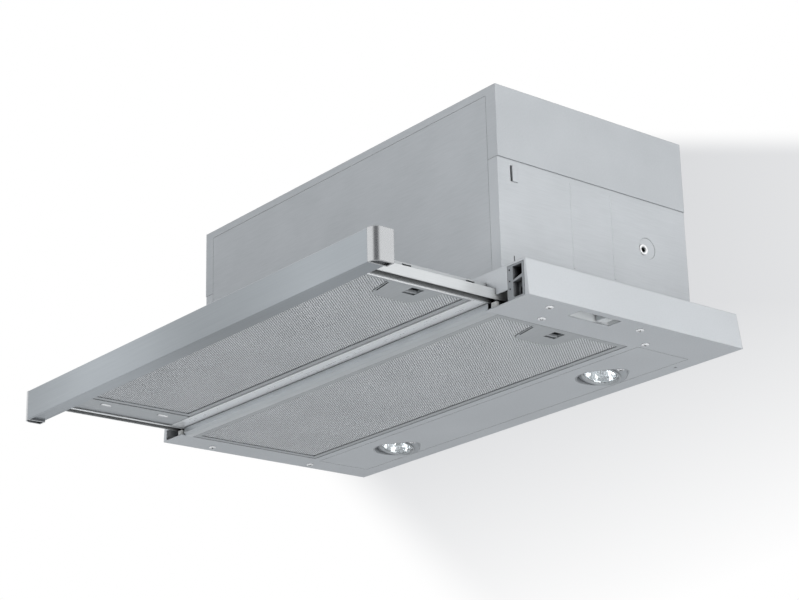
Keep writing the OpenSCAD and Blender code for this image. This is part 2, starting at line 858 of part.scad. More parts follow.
// Moulded recess that carries the lamp
module lamp_housing() {
    housing_h = 15;
    difference() {
        union() {
            along_z(0, housing_h) teardrop(-lamp_play);
            along_z(sheet + lamp_play / 2, housing_wall) teardrop(housing_flange);
            // Collar behind the ring, where the tilted floor comes out of the recess
            tilted() rod_z([0, 0, 0], ring_r, 2 * ring_w);
        }
        // Recess below the tilted floor
        difference() {
            along_z(-over, housing_h - housing_wall) teardrop(-lamp_play - housing_wall);
            tilted() rod_z([0, 0, 0], 2 * tip_reach + tip_r, 2 * recess_r);
        }
        tilted() rod_z([0, 0, -over], lamp_d / 2 + lamp_play, 2 * recess_r);
        rod_z([tip_reach + lamp_screw_shift, 0, 0], fixing_r, 2 * housing_h);
    }
}

module lamp_ring() tilted() difference() {
    rod_z([0, 0, -ring_w], ring_r, ring_w - pin_play);
    rod_z([0, 0, -ring_w - over], lamp_d / 2 - ring_w / 2, ring_w + 2 * over);
}

module lamp_glass() tilted() rod_z([0, 0, lamp_play], lamp_d / 2, housing_wall);

// Faceted reflector shell, as a curved bell
reflector_depth = 20;
reflector_neck_r = 6;
bell_steps = 6;
function bell_r(share) = reflector_neck_r + (lamp_d / 2 - reflector_neck_r) * sqrt(1 - share);
module lamp_reflector() tilted() translate([0, 0, housing_wall + 2 * lamp_play]) difference() {
    rotate_extrude() polygon(concat(
        [for (i = [0 : bell_steps]) let (share = i / bell_steps) [bell_r(share), reflector_depth * share]],
        [for (i = [bell_steps : -1 : 0]) let (share = i / bell_steps)
            [bell_r(share) - housing_wall, reflector_depth * share]]
    ));
}

module lamp_capsule() tilted() translate([0, 0, housing_wall + 2 * lamp_play]) {
    capsule_r = 4.5;
    capsule_len = 12;
    base_h = 3.5;
    pin_r = 0.5;
    pin_gap = 2;
    pin_len = 3;
    rod_z([0, 0, reflector_depth - capsule_len], capsule_r, capsule_len);
    // Ceramic base closes the neck
    rod_z([0, 0, reflector_depth], reflector_neck_r, base_h);
    for (x = [-pin_gap, pin_gap]) rod_z([x, 0, reflector_depth + base_h], pin_r, pin_len);
}

module lamp_housing_left() placed() color("dimgray") each_lamp(-1) lamp_housing();
module lamp_housing_right() placed() color("dimgray") each_lamp(1) lamp_housing();
module lamp_ring_left() placed() color("black") each_lamp(-1) lamp_ring();
module lamp_ring_right() placed() color("black") each_lamp(1) lamp_ring();
module lamp_glass_left() placed() color("lightblue") each_lamp(-1) lamp_glass();
module lamp_glass_right() placed() color("lightblue") each_lamp(1) lamp_glass();
module lamp_reflector_left() placed() color("white") each_lamp(-1) lamp_reflector();
module lamp_reflector_right() placed() color("white") each_lamp(1) lamp_reflector();
module lamp_capsules() placed() color("white") for (side = [-1, 1]) each_lamp(side) lamp_capsule();

// Screws with a domed head under a strip or recess floor
module pan_screw(head_r, head_h, shank_r, shank_len) {
    rod_z([0, 0, -head_h], head_r, head_h);
    rod_z([0, 0, 0], shank_r, shank_len);
}

module lamp_screws() placed() color("silver") for (side = [-1, 1]) each_lamp(side) {
    head_r = 4;
    head_h = 1.8;
    shank_len = 6;
    translate([tip_reach + lamp_screw_shift, 0, lamp_z - head_r * sin(lamp_tilt)])
        pan_screw(head_r, head_h, fixing_r - lamp_play, shank_len);
}

// Grease filters

plate_lean = 11;
plate_r = 12;
plate_steps = 8;
plate_forward = 5;

// Half width of the handle plate at a depth from the rim, shrunk by an inset
function plate_edge(u, inset) = handle_len / 2 - inset / cos(plate_lean) - u * tan(plate_lean);

// Outline of the handle plate against the right rim, with leaning ends and round corners,
// shrunk by an inset and run past its straight edge
module plate_outline(x1, handle_y, inset, past) {
    y = handle_y - plate_forward;
    r = plate_r - inset;
    u = handle_depth - plate_r;
    v = plate_edge(u, 0) - plate_r / cos(plate_lean);
    half = concat([[-past, plate_edge(-past, inset)]], [
        for (i = [0 : plate_steps]) let (a = plate_lean + (90 - plate_lean) * i / plate_steps)
            [u + r * sin(a), v + r * cos(a)]
    ]);
    polygon(concat(
        [for (i = [0 : plate_steps + 1]) [x1 - half[i][0], y + half[i][1]]],
        [for (i = [plate_steps + 1 : -1 : 0]) [x1 - half[i][0], y - half[i][1]]]
    ));
}

// Folded rim round a filter, open in the middle, with two tongues on its left end
module filter_frame(half, y0, depth, z0, handle_y) {
    tongue_w = 18;
    tongue_t = 1.2;
    tongue_reach = 4;
    tongue_shares = [0.2, 0.8];
    fit = 0.1;
    tongue_z = z0 + sheet - filter_sink + gap / 2;
    hollow = filter_t - 2 * sheet;
    difference() {
        box_at([-half, y0, z0], [2 * half, depth, filter_t]);
        box_at(
            [-half + rim_w, y0 + rim_w, z0 - over], [2 * (half - rim_w), depth - 2 * rim_w, filter_t + 2 * over]
        );
        // Inside of the folded rim, which holds the edge of the mesh
        box_at([-half + sheet, y0 + sheet, z0 + sheet], [2 * (half - sheet), depth - 2 * sheet, hollow]);
        // Slot for the latch
        box_at(
            [half - sheet - over, handle_y - latch_half - gap, z0 + sheet], [sheet + 2 * over, 2 * (latch_half + gap), hollow]
        );
        // Seat of the handle plate
        along_z(z0 - over, sheet + over) plate_outline(half - sheet / 2, handle_y, -fit, 0);
    }
    for (share = tongue_shares)
        box_at(
            [-half - tongue_reach, y0 + share * depth - tongue_w / 2, tongue_z], [tongue_reach + sheet, tongue_w, tongue_t]
        );
}

// Layers of metal mesh between the folds of the rim, cut out round the handle
module filter_mesh(half, y0, depth, z0, handle_y) {
    fit = 0.1;
    layer_t = 0.4;
    layer_count = 4;
    inset = sheet + fit;
    bulge = 0.7;
    low = z0 + inset + bulge;
    pitch = (filter_t - 2 * inset - bulge - layer_t) / (layer_count - 1);
    difference() {
        for (i = [0 : layer_count - 1])
            box_at(
                [-half + inset, y0 + inset, low + i * pitch], [2 * (half - inset), depth - 2 * inset, layer_t]
            );
        along_z(z0, filter_t) plate_outline(half - sheet / 2, handle_y, -fit, 0);
    }
}

latch_half = 10;
latch_t = 1.5;

// Pressed plate with its finger opening, a lanced slit along its front edge and a rim standing up from it
module filter_handle(half, z0, handle_y) {
    rim_h = filter_t - 2 * sheet;
    x1 = half - sheet / 2;
    y = handle_y - plate_forward;
    slit_w = 1.6;
    slit_u0 = 8;
    slit_u1 = handle_depth - plate_r + slit_w;
    difference() {
        along_z(z0, sheet) plate_outline(x1, handle_y, 0, 0);
        box_at(
            [x1 - finger_inset - finger_len, handle_y - finger_w / 2, z0 - over], [finger_len, finger_w, filter_t]
        );
        along_z(z0 - over, filter_t) polygon([
            [x1 - slit_u0, y - plate_edge(slit_u0, sheet)],
            [x1 - slit_u1, y - plate_edge(slit_u1, sheet)],
            [x1 - slit_u1, y - plate_edge(slit_u1, sheet + slit_w)],
            [x1 - slit_u0, y - plate_edge(slit_u0, sheet + slit_w)]
        ]);
    }
    difference() {
        along_z(z0, rim_h) plate_outline(x1, handle_y, 0, -sheet);
        along_z(z0 - over, filter_t) plate_outline(x1, handle_y, sheet, sheet);
    }
}

// Sliding latch with its window, pull lip and bolt
module filter_latch(half, z0, handle_y) {
    play = 0.3;
    lip = 1.5;
    z1 = z0 + sheet + play;
    x1 = half + latch_reach;
    open_x0 = half - sheet / 2 - finger_inset - finger_len;
    x0 = open_x0 - latch_reach;
    window_x = open_x0 + latch_travel + gap + lip;
    y0 = handle_y - finger_w / 2 + play;
    w = finger_w - 2 * play;
    difference() {
        box_at([x0, handle_y - latch_half, z1], [x1 - x0, 2 * latch_half, latch_t]);
        box_at([window_x, y0, z1 - over], [finger_len - latch_travel, w, latch_t + 2 * over]);
        // Sloping nose that lets the bolt snap in
        translate([x1, handle_y, z1]) rotate([0, 45, 0]) cube([latch_t, 2 * latch_half + lip, latch_t], center = true);
    }
    // Lip that the finger pulls
    box_at([window_x - lip, y0, z0 + play], [lip, w, z1 + latch_t - z0 - play]);
}

latch_reach = 3;
handle_back = 3;

// Fixed filter in the base
fixed_half = win_half - 2 * gap;
fixed_y0 = filter_y0 + gap / 2;
fixed_depth = filter_window_d - 2 * gap;
fixed_handle_y = fixed_y0 + fixed_depth / 2 + handle_back;

module fixed_filter_frame() placed() color("silver") right_of_drawer()
    filter_frame(fixed_half, fixed_y0, fixed_depth, fixed_filter_z, fixed_handle_y);
module fixed_filter_mesh() placed() color("darkgray") right_of_drawer()
    filter_mesh(fixed_half, fixed_y0, fixed_depth, fixed_filter_z, fixed_handle_y);
module fixed_filter_handle() placed() color("lightgray") right_of_drawer()
    filter_handle(fixed_half, fixed_filter_z, fixed_handle_y);
module fixed_filter_latch() placed() color("gray") right_of_drawer()
    filter_latch(fixed_half, fixed_filter_z, fixed_handle_y);

// Filter in the drawer, between the plain strip and the right ledge
drawer_filter_x0 = mid_x - wall_in + drawer_strip_w + 4 * gap;
drawer_filter_x1 = mid_x + wall_in - ledge_w - gap;
drawer_half = (drawer_filter_x1 - drawer_filter_x0) / 2;
drawer_y0 = fascia_rear + gap;
drawer_depth = tray_rear - rear_bar_d - gap - drawer_y0;
drawer_handle_back = 13;
drawer_handle_y = drawer_y0 + drawer_depth / 2 + drawer_handle_back;
module at_drawer_filter() translate([(drawer_filter_x0 + drawer_filter_x1) / 2, 0, 0]) children();

module drawer_filter_frame() placed() color("silver") at_drawer_filter()
    filter_frame(drawer_half, drawer_y0, drawer_depth, drawer_filter_z, drawer_handle_y);
module drawer_filter_mesh() placed() color("darkgray") at_drawer_filter()
    filter_mesh(drawer_half, drawer_y0, drawer_depth, drawer_filter_z, drawer_handle_y);
module drawer_filter_handle() placed() color("lightgray") at_drawer_filter()
    filter_handle(drawer_half, drawer_filter_z, drawer_handle_y);
module drawer_filter_latch() placed() color("gray") at_drawer_filter()
    filter_latch(drawer_half, drawer_filter_z, drawer_handle_y);

// Drawer

fascia_z0 = -fascia_drop;
cap_r = 9;
grip_h = 2;

// Hollow profile of the drawer front, with a grip groove in its underside
module fascia() placed() color("gainsboro") {
    x1 = base_w / 2 - cap_w;
    z1 = fascia_z0 + fascia_h;
    w = fascia_wall;
    y0 = fascia_front;
    y1 = fascia_rear;
    difference() {
        along_x(-x1, 2 * x1) polygon([
            [y0, fascia_z0], [y0 + 2 * w, fascia_z0], [y0 + 2 * w, fascia_z0 + grip_h], [y1, fascia_z0 + grip_h],
            [y1, z1 - w], [y1 - w, z1], [y0 + w / 2, z1], [y0, z1 - w / 2]
        ]);
        along_x(-x1 - over, 2 * (x1 + over)) polygon([
            [y0 + w, fascia_z0 + grip_h + w], [y1 - w, fascia_z0 + grip_h + w],
            [y1 - w, z1 - 2 * w], [y1 - 2 * w, z1 - w], [y0 + w, z1 - w]
        ]);
    }
}

// Outline of an end cap with its round corner, shrunk by a wall
module cap_outline(wall) {
    x0 = base_w / 2 - cap_w + wall;
    corner_y = fascia_front + cap_r;
    translate([x0, corner_y]) square([cap_w - 2 * wall, fascia_d - cap_r - wall]);
    intersection() {
        translate([base_w / 2 - cap_r, corner_y]) circle(cap_r - wall);
        translate([x0, fascia_front]) square([cap_w, cap_r + over]);
    }
}

// End cap with a hollow underside and a plug, drawn as the right one
module fascia_cap() {
    x0 = base_w / 2 - cap_w;
    plug = 12;
    play = 0.15;
    inset = fascia_wall + play;
    hollow_h = 2;
    difference() {
        along_z(fascia_z0, fascia_h) {
            cap_outline(0);
            translate([x0, fascia_front]) square([cap_w - cap_r, fascia_d]);
        }
        along_z(fascia_z0 - over, hollow_h + over) cap_outline(fascia_wall);
    }
    // Plug inside the profile
    box_at(
        [x0 - plug, fascia_front + inset, fascia_z0 + grip_h + inset],
        [plug + fascia_wall / 2, fascia_d - 2 * inset - fascia_wall, fascia_h - grip_h - 2 * inset]
    );
}

module fascia_cap_right() placed() color("lightgray") fascia_cap();
module fascia_cap_left() placed() color("lightgray") mirror([1, 0, 0]) fascia_cap();

// Drawer sheet: two side walls under a flat top, with a plain strip on the left and a ledge on the right
slot_len = 10;
slot_h = 2.5;
slot_z = 22.5;
slot_ys = [-98, -24];
bridge_len = 12;
bridge_w = 4;
bridge_in = 23;
bridge_ys = [-116, -46];

module drawer_tray() placed() color("lightgray") right_of_drawer() {
    ledge_x = wall_in - ledge_w;
    strip_x = wall_in - drawer_strip_w;
    difference() {
        along_y(fascia_rear, tray_rear - fascia_rear) polygon([
            [-tray_half, tray_low], [-wall_in, tray_low], [-wall_in, ledge_z], [-strip_x, ledge_z],
            [-strip_x, ledge_z + sheet], [-wall_in, ledge_z + sheet], [-wall_in, tray_high - sheet],
            [wall_in, tray_high - sheet], [wall_in, ledge_z + sheet], [ledge_x, ledge_z + sheet],
            [ledge_x, ledge_z], [wall_in, ledge_z], [wall_in, tray_low], [tray_half, tray_low],
            [tray_half, tray_high], [-tray_half, tray_high]
        ]);
        // Lanced slots for the runner's hooks
        for (x = [-tray_half - over, wall_in - over], y = slot_ys)
            box_at([x, y, slot_z], [sheet + 2 * over, slot_len, slot_h]);
        // Room for the bar behind the filter
        box_at(
            [-wall_in, tray_rear - rear_bar_d, ledge_z - over], [2 * wall_in, rear_bar_d + over, sheet + 2 * over]
        );
    }
    // Lanced bridges in the plain strip
    for (y = bridge_ys) box_at([-wall_in + bridge_in, y, ledge_z - sheet / 2], [bridge_w, bridge_len, sheet]);
}

// Bar that ties the drawer's walls together behind its filter
module drawer_rear_bar() placed() color("silver") right_of_drawer() {
    bar_h = 4;
    y0 = tray_rear - rear_bar_d;
    z0 = ledge_z - gap - filter_sink;
    z1 = z0 + bar_h;
    along_x(-wall_in, 2 * wall_in) polygon([
        [y0, z0], [tray_rear, z0], [tray_rear, z1], [tray_rear - sheet, z1], [tray_rear - sheet, z0 + sheet],
        [y0 + sheet, z0 + sheet], [y0 + sheet, z1], [y0, z1]
    ]);
}

// Runners, drawn as the right ones

head_w = 4;
head_h = 5;
head_z = 10;
cage_t = 0.8;
race_gap = (channel_w - 2 * runner_wall - head_w) / 2;
ball_x = head_w / 2 + race_gap / 2;
ball_z = head_z + head_h / 2;

// Folded channel over the race
module runner_moving() {
    x0 = tray_half;
    x1 = tray_half + channel_w;
    t = runner_wall;
    along_y(runner_front, runner_len) polygon([
        [x0, tray_low], [x0 + t, tray_low], [x0 + t, runner_top - t], [x1 - t, runner_top - t],
        [x1 - t, tray_low], [x1, tray_low], [x1, runner_top], [x0, runner_top]
    ]);
}

// Race on its web and screwed foot
module runner_fixed(screw_shift) {
    foot_w = 20;
    web_w = 2;
    z0 = sheet;
    foot_x1 = groove_x + foot_w;
    difference() {
        along_y(race_front, race_len) polygon([
            [groove_x - web_w / 2, z0], [foot_x1, z0], [foot_x1, z0 + runner_wall],
            [groove_x + web_w / 2, z0 + runner_wall], [groove_x + web_w / 2, head_z],
            [groove_x + head_w / 2, head_z], [groove_x + head_w / 2, head_z + head_h],
            [groove_x - head_w / 2, head_z + head_h], [groove_x - head_w / 2, head_z],
            [groove_x - web_w / 2, head_z]
        ]);
        for (y = [rail_screw_y0, rail_screw_y1])
            rod_z([groove_x + screw_shift, y, z0 - over], strip_screw_r + pin_play, runner_wall + 2 * over);
    }
}

// Saddle-shaped cage with a row of balls on each side of the race
module ball_cage() {
    low = head_z + gap;
    top = head_z + head_h + gap;
    hole_r = ball_d / 2 + 2 * pin_play;
    outer = ball_x + cage_t / 2;
    inner = ball_x - cage_t / 2;
    pitch = cage_len / ball_count;
    translate([groove_x, race_front + sheet, 0]) {
        difference() {
            along_y(0, cage_len) polygon([
                [-outer, low], [-inner, low], [-inner, top], [inner, top], [inner, low], [outer, low],
                [outer, top + cage_t], [-outer, top + cage_t]
            ]);
            for (i = [0 : ball_count - 1])
                rod_x([-channel_w / 2, i * pitch + pitch / 2, ball_z], hole_r, channel_w);
        }
        for (i = [0 : ball_count - 1], side = [-1, 1])
            translate([side * ball_x, i * pitch + pitch / 2, ball_z]) sphere(r = ball_d / 2);
    }
}

module runner_moving_right() placed() color("whitesmoke") right_of_drawer() runner_moving();
module runner_moving_left() placed() color("whitesmoke") left_of_drawer() runner_moving();
module runner_fixed_right() placed() color("silver") right_of_drawer() runner_fixed(right_screw_shift);
module runner_fixed_left() placed() color("silver") left_of_drawer() runner_fixed(left_screw_shift);
module ball_cage_right() placed() color("gray") right_of_drawer() ball_cage();
module ball_cage_left() placed() color("gray") left_of_drawer() ball_cage();

// White plastic stops in front of the races
module runner_end_stops() placed() color("white") {
    stop_w = 7;
    stop_z1 = tray_low - gap;
    stop_y = race_front - stop_d;
    right_of_drawer() box_at([groove_x - stop_w / 2, stop_y, sheet], [stop_w, stop_d, stop_z1 - sheet]);
    left_of_drawer() box_at([groove_x - stop_w / 2, stop_y, sheet], [stop_w, stop_d, stop_z1 - sheet]);
}

// Controls

control_wall = 1.5;
control_depth = 10;
slot_floor = 4;
chamber_z = control_depth + slot_floor;
housing_z1 = 28;
knob_len = 11;
knob_w = 13;
knob_back = 12.5;
knob_y = control_y1 - knob_back;
stem_r = 2;

// Moulded switch housing with its recess, slider slot and screwed ends
module control_housing() placed() color("darkgray") {
    foot_w = control_w + 2 * control_wall;
    x0 = control_x0 - control_wall;
    y0 = control_front - control_wall;
    body_len = control_len + 2 * control_wall;
    foot_t = 2.5;
    foot_end = 8;
    foot_y0 = control_screw_y0 - foot_end;
    foot_y1 = control_screw_y1 + foot_end;
    ramp = 4;
    slot_w = 2 * (stem_r + gap);
    difference() {
        union() {
            box_at([x0, y0, sheet], [foot_w, body_len, housing_z1 - sheet]);
            box_at([x0, foot_y0, sheet], [foot_w, foot_y1 - foot_y0, foot_t]);
        }
        // Recess with a ramp at its front end
        along_x(control_x0, control_w) polygon([
            [control_front, 0], [control_y1, 0], [control_y1, control_depth],
            [control_front + ramp, control_depth], [control_front, sheet + foot_t]
        ]);
        // Slot for the slider's stem
        box_at(
            [(control_x0 + control_x1 - slot_w) / 2, knob_y - slider_travel - slot_w / 2, control_depth - over],
            [slot_w, slider_travel + slot_w, control_depth]
        );
        // Chamber of the switch contacts above the slot
        box_at(
            [control_x0, control_front, chamber_z], [control_w, control_len, housing_z1 - control_wall - chamber_z]
        );
        for (y = [control_screw_y0, control_screw_y1])
            rod_z([control_screw_x, y, sheet - over], strip_screw_r + pin_play, foot_t + 2 * over);
    }
}

// Slider knob with its stem and contact shoe
module control_knob() placed() color("dimgray") translate([(control_x0 + control_x1) / 2, knob_y, 0]) {
    play = 0.3;
    knob_z0 = 1;
    knob_z1 = control_depth - play;
    shoe_z = chamber_z + play;
    shoe_h = 3;
    shoe_half = 4;
    along_x(-knob_w / 2, knob_w) polygon([
        [-knob_len / 2, knob_z0], [knob_len / 2, knob_z0], [knob_len / 2 - sheet, knob_z1], [sheet - knob_len / 2, knob_z1]
    ]);
    rod_z([0, 0, knob_z1], stem_r, shoe_z - knob_z1);
    box_at([-shoe_half, -shoe_half, shoe_z], [2 * shoe_half, 2 * shoe_half, shoe_h]);
}

// Switch that the closing drawer presses
switch_d = 14;
switch_w = 12;
switch_h = 17;
plunger_r = 1.8;
plunger_out = 3;
plunger_press = 2;
switch_y = runner_front + runner_len + travel + plunger_out + gap;
switch_x = mid_x + tray_half + channel_w - (runner_wall + switch_w) / 2;
plunger_z = tray_low + channel_h / 2;

module drawer_switch() placed() color("black") difference() {
    box_at([switch_x, switch_y, sheet], [switch_w, switch_d, switch_h]);
    rod_y(
        [switch_x + switch_w / 2, switch_y - over, plunger_z],
        plunger_r + pin_play, switch_d / 2 + plunger_press + 2 * over
    );
}

module switch_plunger() placed() color("red")
    rod_y([switch_x + switch_w / 2, switch_y - plunger_out, plunger_z], plunger_r, plunger_out + switch_d / 2);

// Screws seen in the bottom strips
module base_screws() placed() color("silver") {
    head_r = 3.8;
    head_h = 1.8;
    shank_len = 4;
    for (place = strip_screws)
        translate([place[0], place[1], 0]) pan_screw(head_r, head_h, strip_screw_r - 2 * pin_play, shank_len);
}

base_tray();
front_cross_bar();
middle_stiffener();
end_block_right();
side_panel_left();
side_panel_right();
front_panel();
back_panel();
top_cover();
outlet_collar();
flap_front();
flap_rear();
scroll_shell();
scroll_plate_left();
scroll_plate_right();
impeller();
motor_shaft();
motor_body();
motor_bracket();
capacitor();
terminal_box();
terminal_box_lid();
transformer();
cable_gland();
light_panel();
lamp_housing_left();
lamp_housing_right();
lamp_ring_left();
lamp_ring_right();
lamp_glass_left();
lamp_glass_right();
lamp_reflector_left();
lamp_reflector_right();
lamp_capsules();
lamp_screws();
fixed_filter_frame();
fixed_filter_mesh();
fixed_filter_handle();
fixed_filter_latch();
drawer_filter_frame();
drawer_filter_mesh();
drawer_filter_handle();
drawer_filter_latch();
fascia();
fascia_cap_left();
fascia_cap_right();
drawer_tray();
drawer_rear_bar();
runner_fixed_left();
runner_fixed_right();
ball_cage_left();
ball_cage_right();
runner_moving_left();
runner_moving_right();
runner_end_stops();
control_housing();
control_knob();
drawer_switch();
switch_plunger();
base_screws();
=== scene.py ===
"""Finishes, small pieces, light and camera of a telescopic built-in range hood.

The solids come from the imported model. This script dresses them, adds what is too
fine for them (expanded mesh, screw recesses, lamp facets and rings, rolled hems,
grip ribs) and sets the view. Sizes are in millimetres of the drawing, whose zero is
the middle of the base's front lower edge, and one function turns them to metres of
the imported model.
"""

import logging
import math
from collections.abc import Callable, Iterable, Sequence
from dataclasses import dataclass, field
from enum import Enum

import bmesh
import bpy
from mathutils import Matrix, Vector


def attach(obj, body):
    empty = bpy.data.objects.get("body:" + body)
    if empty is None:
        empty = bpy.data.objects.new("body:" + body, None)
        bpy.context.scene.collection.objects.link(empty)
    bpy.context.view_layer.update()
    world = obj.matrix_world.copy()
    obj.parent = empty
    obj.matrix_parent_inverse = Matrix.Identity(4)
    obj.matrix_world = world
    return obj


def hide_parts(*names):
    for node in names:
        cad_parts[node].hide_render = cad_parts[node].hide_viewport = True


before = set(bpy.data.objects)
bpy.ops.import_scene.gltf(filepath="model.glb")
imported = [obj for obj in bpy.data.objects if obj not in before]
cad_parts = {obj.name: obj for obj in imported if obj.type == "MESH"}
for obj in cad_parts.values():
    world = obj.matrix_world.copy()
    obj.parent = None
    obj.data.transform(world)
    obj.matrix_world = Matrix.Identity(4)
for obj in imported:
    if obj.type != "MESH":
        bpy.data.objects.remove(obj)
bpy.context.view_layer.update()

LOG = logging.getLogger("hood")
MM = 0.001
DRAWING_ORIGIN = Vector((0.0, 115.0, 233.0))
Pair = tuple[float, float]
Triple = tuple[float, float, float]
Node = bpy.types.Node
Socket = bpy.types.NodeSocket
Link = Node | Socket
BMesh = bmesh.types.BMesh
Inputs = dict[str | int, object]
UNIT = (0.0, 1.0)
# Occlusion in the deepest crevices and on the open surface, which sets the painted crevice shade
CREVICE_RANGE = (0.2, 0.75)
# Where most of the noise lies: grain alone, and grain added to clouds
GRAIN_RANGE = (0.3, 0.7)
CLOUD_RANGE = (0.5, 1.1)
GRAIN_WEIGHT = 0.6
# How far a band texture of scale one turns in one metre
BAND_RADIANS = 20


class Side(Enum):
    """Which end of the hood a piece belongs to, as the sign of its X."""

    LEFT = -1
    RIGHT = 1

    @property
    def label(self) -> str:
        """Ending of the names on this side."""
        return self.name.lower()


class Axis(Enum):
    """Direction that a rolled or brushed grain runs in."""

    ALONG_X = 0
    ALONG_Y = 1
    ALONG_Z = 2


def drawn(x: float, y: float, z: float) -> Vector:
    """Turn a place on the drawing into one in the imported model.

    Args:
        x: Millimetres to the right of the middle.
        y: Millimetres behind the base's front.
        z: Millimetres above the base's underside.

    Returns:
        The place in metres.
    """
    return (Vector((x, y, z)) - DRAWING_ORIGIN) * MM


def linear(hex_colour: str) -> tuple[float, float, float, float]:
    """Turn an sRGB hex colour into the linear one that a socket takes.

    Args:
        hex_colour: Colour such as "#b8bcbf".

    Returns:
        Linear red, green, blue and an alpha of one.
    """
    parts = [int(hex_colour[i : i + 2], 16) / 255 for i in (1, 3, 5)]
    red, green, blue = (
        part / 12.92 if part <= 0.04045 else ((part + 0.055) / 1.055) ** 2.4
        for part in parts
    )
    return red, green, blue, 1.0


def linked(name: str, data: bpy.types.ID) -> bpy.types.Object:
    """Put a mesh, a camera or a lamp into the scene.

    Args:
        name: Name of the object.
        data: What it shows.

    Returns:
        The new object.
    """
    thing = bpy.data.objects.new(name, data)
    bpy.context.scene.collection.objects.link(thing)
    return thing


@dataclass
class Graph:
    """Node tree of one material or world, with short ways to fill it.

    A node that is given as an input is read at its first output.

    Attributes:
        tree: The node tree.
    """

    tree: bpy.types.NodeTree

    @classmethod
    def of(cls, owner: bpy.types.Material | bpy.types.World) -> "Graph":
        """Switch a material or world to nodes and empty its tree."""
        owner.use_nodes = True
        owner.node_tree.nodes.clear()
        return cls(owner.node_tree)

    def node(
        self, kind: str, inputs: Inputs | None = None, **settings: object
    ) -> Node:
        """Add a node with its settings, its constant inputs and its links.

        Args:
            kind: Blender's name for the node type, after "ShaderNode".
            inputs: Values, sockets or nodes by input name or number.
            settings: Properties of the node.

        Returns:
            The new node.
        """
        node = self.tree.nodes.new(f"ShaderNode{kind}")
        for name, value in settings.items():
            setattr(node, name, value)
        for name, value in (inputs or {}).items():
            if isinstance(value, Node):
                value = value.outputs[0]
            if isinstance(value, Socket):
                self.tree.links.new(value, node.inputs[name])
            else:
                node.inputs[name].default_value = value
        return node

    def maths(self, operation: str, *values: Link | float) -> Node:
        """Work out one sum of numbers and links."""
        return self.node("Math", dict(enumerate(values)), operation=operation)

    def ranged(
        self, value: Link, source: Pair = UNIT, target: Pair = UNIT, soft: bool = False
    ) -> Node:
        """Map a value from one range to another, held at its ends.

        Args:
            value: The value.
            source: Range that it comes in.
            target: Range that it goes to.
            soft: Whether it turns softly at both ends.

        Returns:
            The node with the mapped value.
        """
        names = ("From Min", "From Max", "To Min", "To Max")
        inputs = {"Value": value, **dict(zip(names, (*source, *target)))}
        return self.node("MapRange", inputs, interpolation_type="SMOOTHSTEP" if soft else "LINEAR")

    def noise(
        self, place: Link, size: float, detail: float = 2.0, roughness: float = 0.5
    ) -> Node:
        """Read noise at a place.

        Args:
            place: Where it is read.
            size: Size of one patch, in the unit of the place.
            detail: Number of finer layers.
            roughness: Weight of the finer layers.

        Returns:
            The node with the noise, from zero to one.
        """
        inputs = {"Vector": place, "Scale": 1 / size, "Detail": detail, "Roughness": roughness}
        return self.node("TexNoise", inputs)

    def blended(
        self, share: Link | float, first: Link | str, second: Link | str, mode: str = "MIX"
    ) -> Socket:
        """Blend two colours.

        Args:
            share: Share of the second colour.
            first: Link or sRGB hex colour, where the share is zero.
            second: The same, where the share is one.
            mode: Blender's name for the blend.

        Returns:
            The blend.
        """
        low, high = (linear(side) if isinstance(side, str) else side for side in (first, second))
        inputs = {0: share, 6: low, 7: high}
        return self.node("Mix", inputs, data_type="RGBA", blend_type=mode).outputs[2]

    def share_of(self, direction: Link, axis: Sequence[float]) -> Socket:
        """Cosine between a direction and an axis of length one."""
        both = self.node("VectorMath", {0: direction, 1: axis}, operation="DOT_PRODUCT")
        return both.outputs["Value"]


# Finishes


@dataclass(frozen=True)
class Finish:
    """Surface of one real material, made by one process.

    Attributes:
        name: Material and process.
        colour: Main sRGB colour.
        tint: sRGB colour of the weaker patches.
        roughness: Middle roughness.
        spread: How far the pattern moves the roughness up and down.
        crevice: Share of the colour that is left in the deepest crevices, under painted shade.
        reach_mm: Depth and width of the crevices that get painted shade.
    """

    name: str
    colour: str
    tint: str
    roughness: float
    spread: float = 0.06
    crevice: float = 0.15
    reach_mm: float = 9.0

    def material(self) -> bpy.types.Material:
        """Return the finish's material, made on its first use."""
        known = bpy.data.materials.get(self.name)
        if known is not None:
            return known
        material = bpy.data.materials.new(self.name)
        graph = Graph.of(material)
        surface = graph.node("BsdfPrincipled", self.inputs(graph))
        graph.node("OutputMaterial", {"Surface": surface})
        return material

    def shaded(self, graph: Graph, colour: Link) -> Socket:
        """Darken a colour in folds, slots and gaps with painted shade, taken from ambient
        occlusion.

        Args:
            graph: The material's graph.
            colour: Colour of the open surface.

        Returns:
            The colour with its darker crevices.
        """
        # Painted shade: ambient occlusion darkens the colour itself
        near = graph.node("AmbientOcclusion", {"Distance": self.reach_mm * MM}, samples=6)
        deep = graph.ranged(near.outputs["AO"], CREVICE_RANGE, (self.crevice, 1.0))
        return graph.blended(1.0, colour, deep, "MULTIPLY")

    def gloss(self, graph: Graph, pattern: Link, source: Pair = UNIT) -> Node:
        """Move the roughness up and down with a pattern.

        Args:
            graph: The material's graph.
            pattern: The pattern.
            source: Range that the pattern comes in.

        Returns:
            The node with the roughness.
        """
        target = (self.roughness - self.spread, self.roughness + self.spread)
        return graph.ranged(pattern, source, target)

    def inputs(self, graph: Graph) -> Inputs:
        """Fill the graph and return the shader's inputs; each kind has its own way."""
        raise NotImplementedError


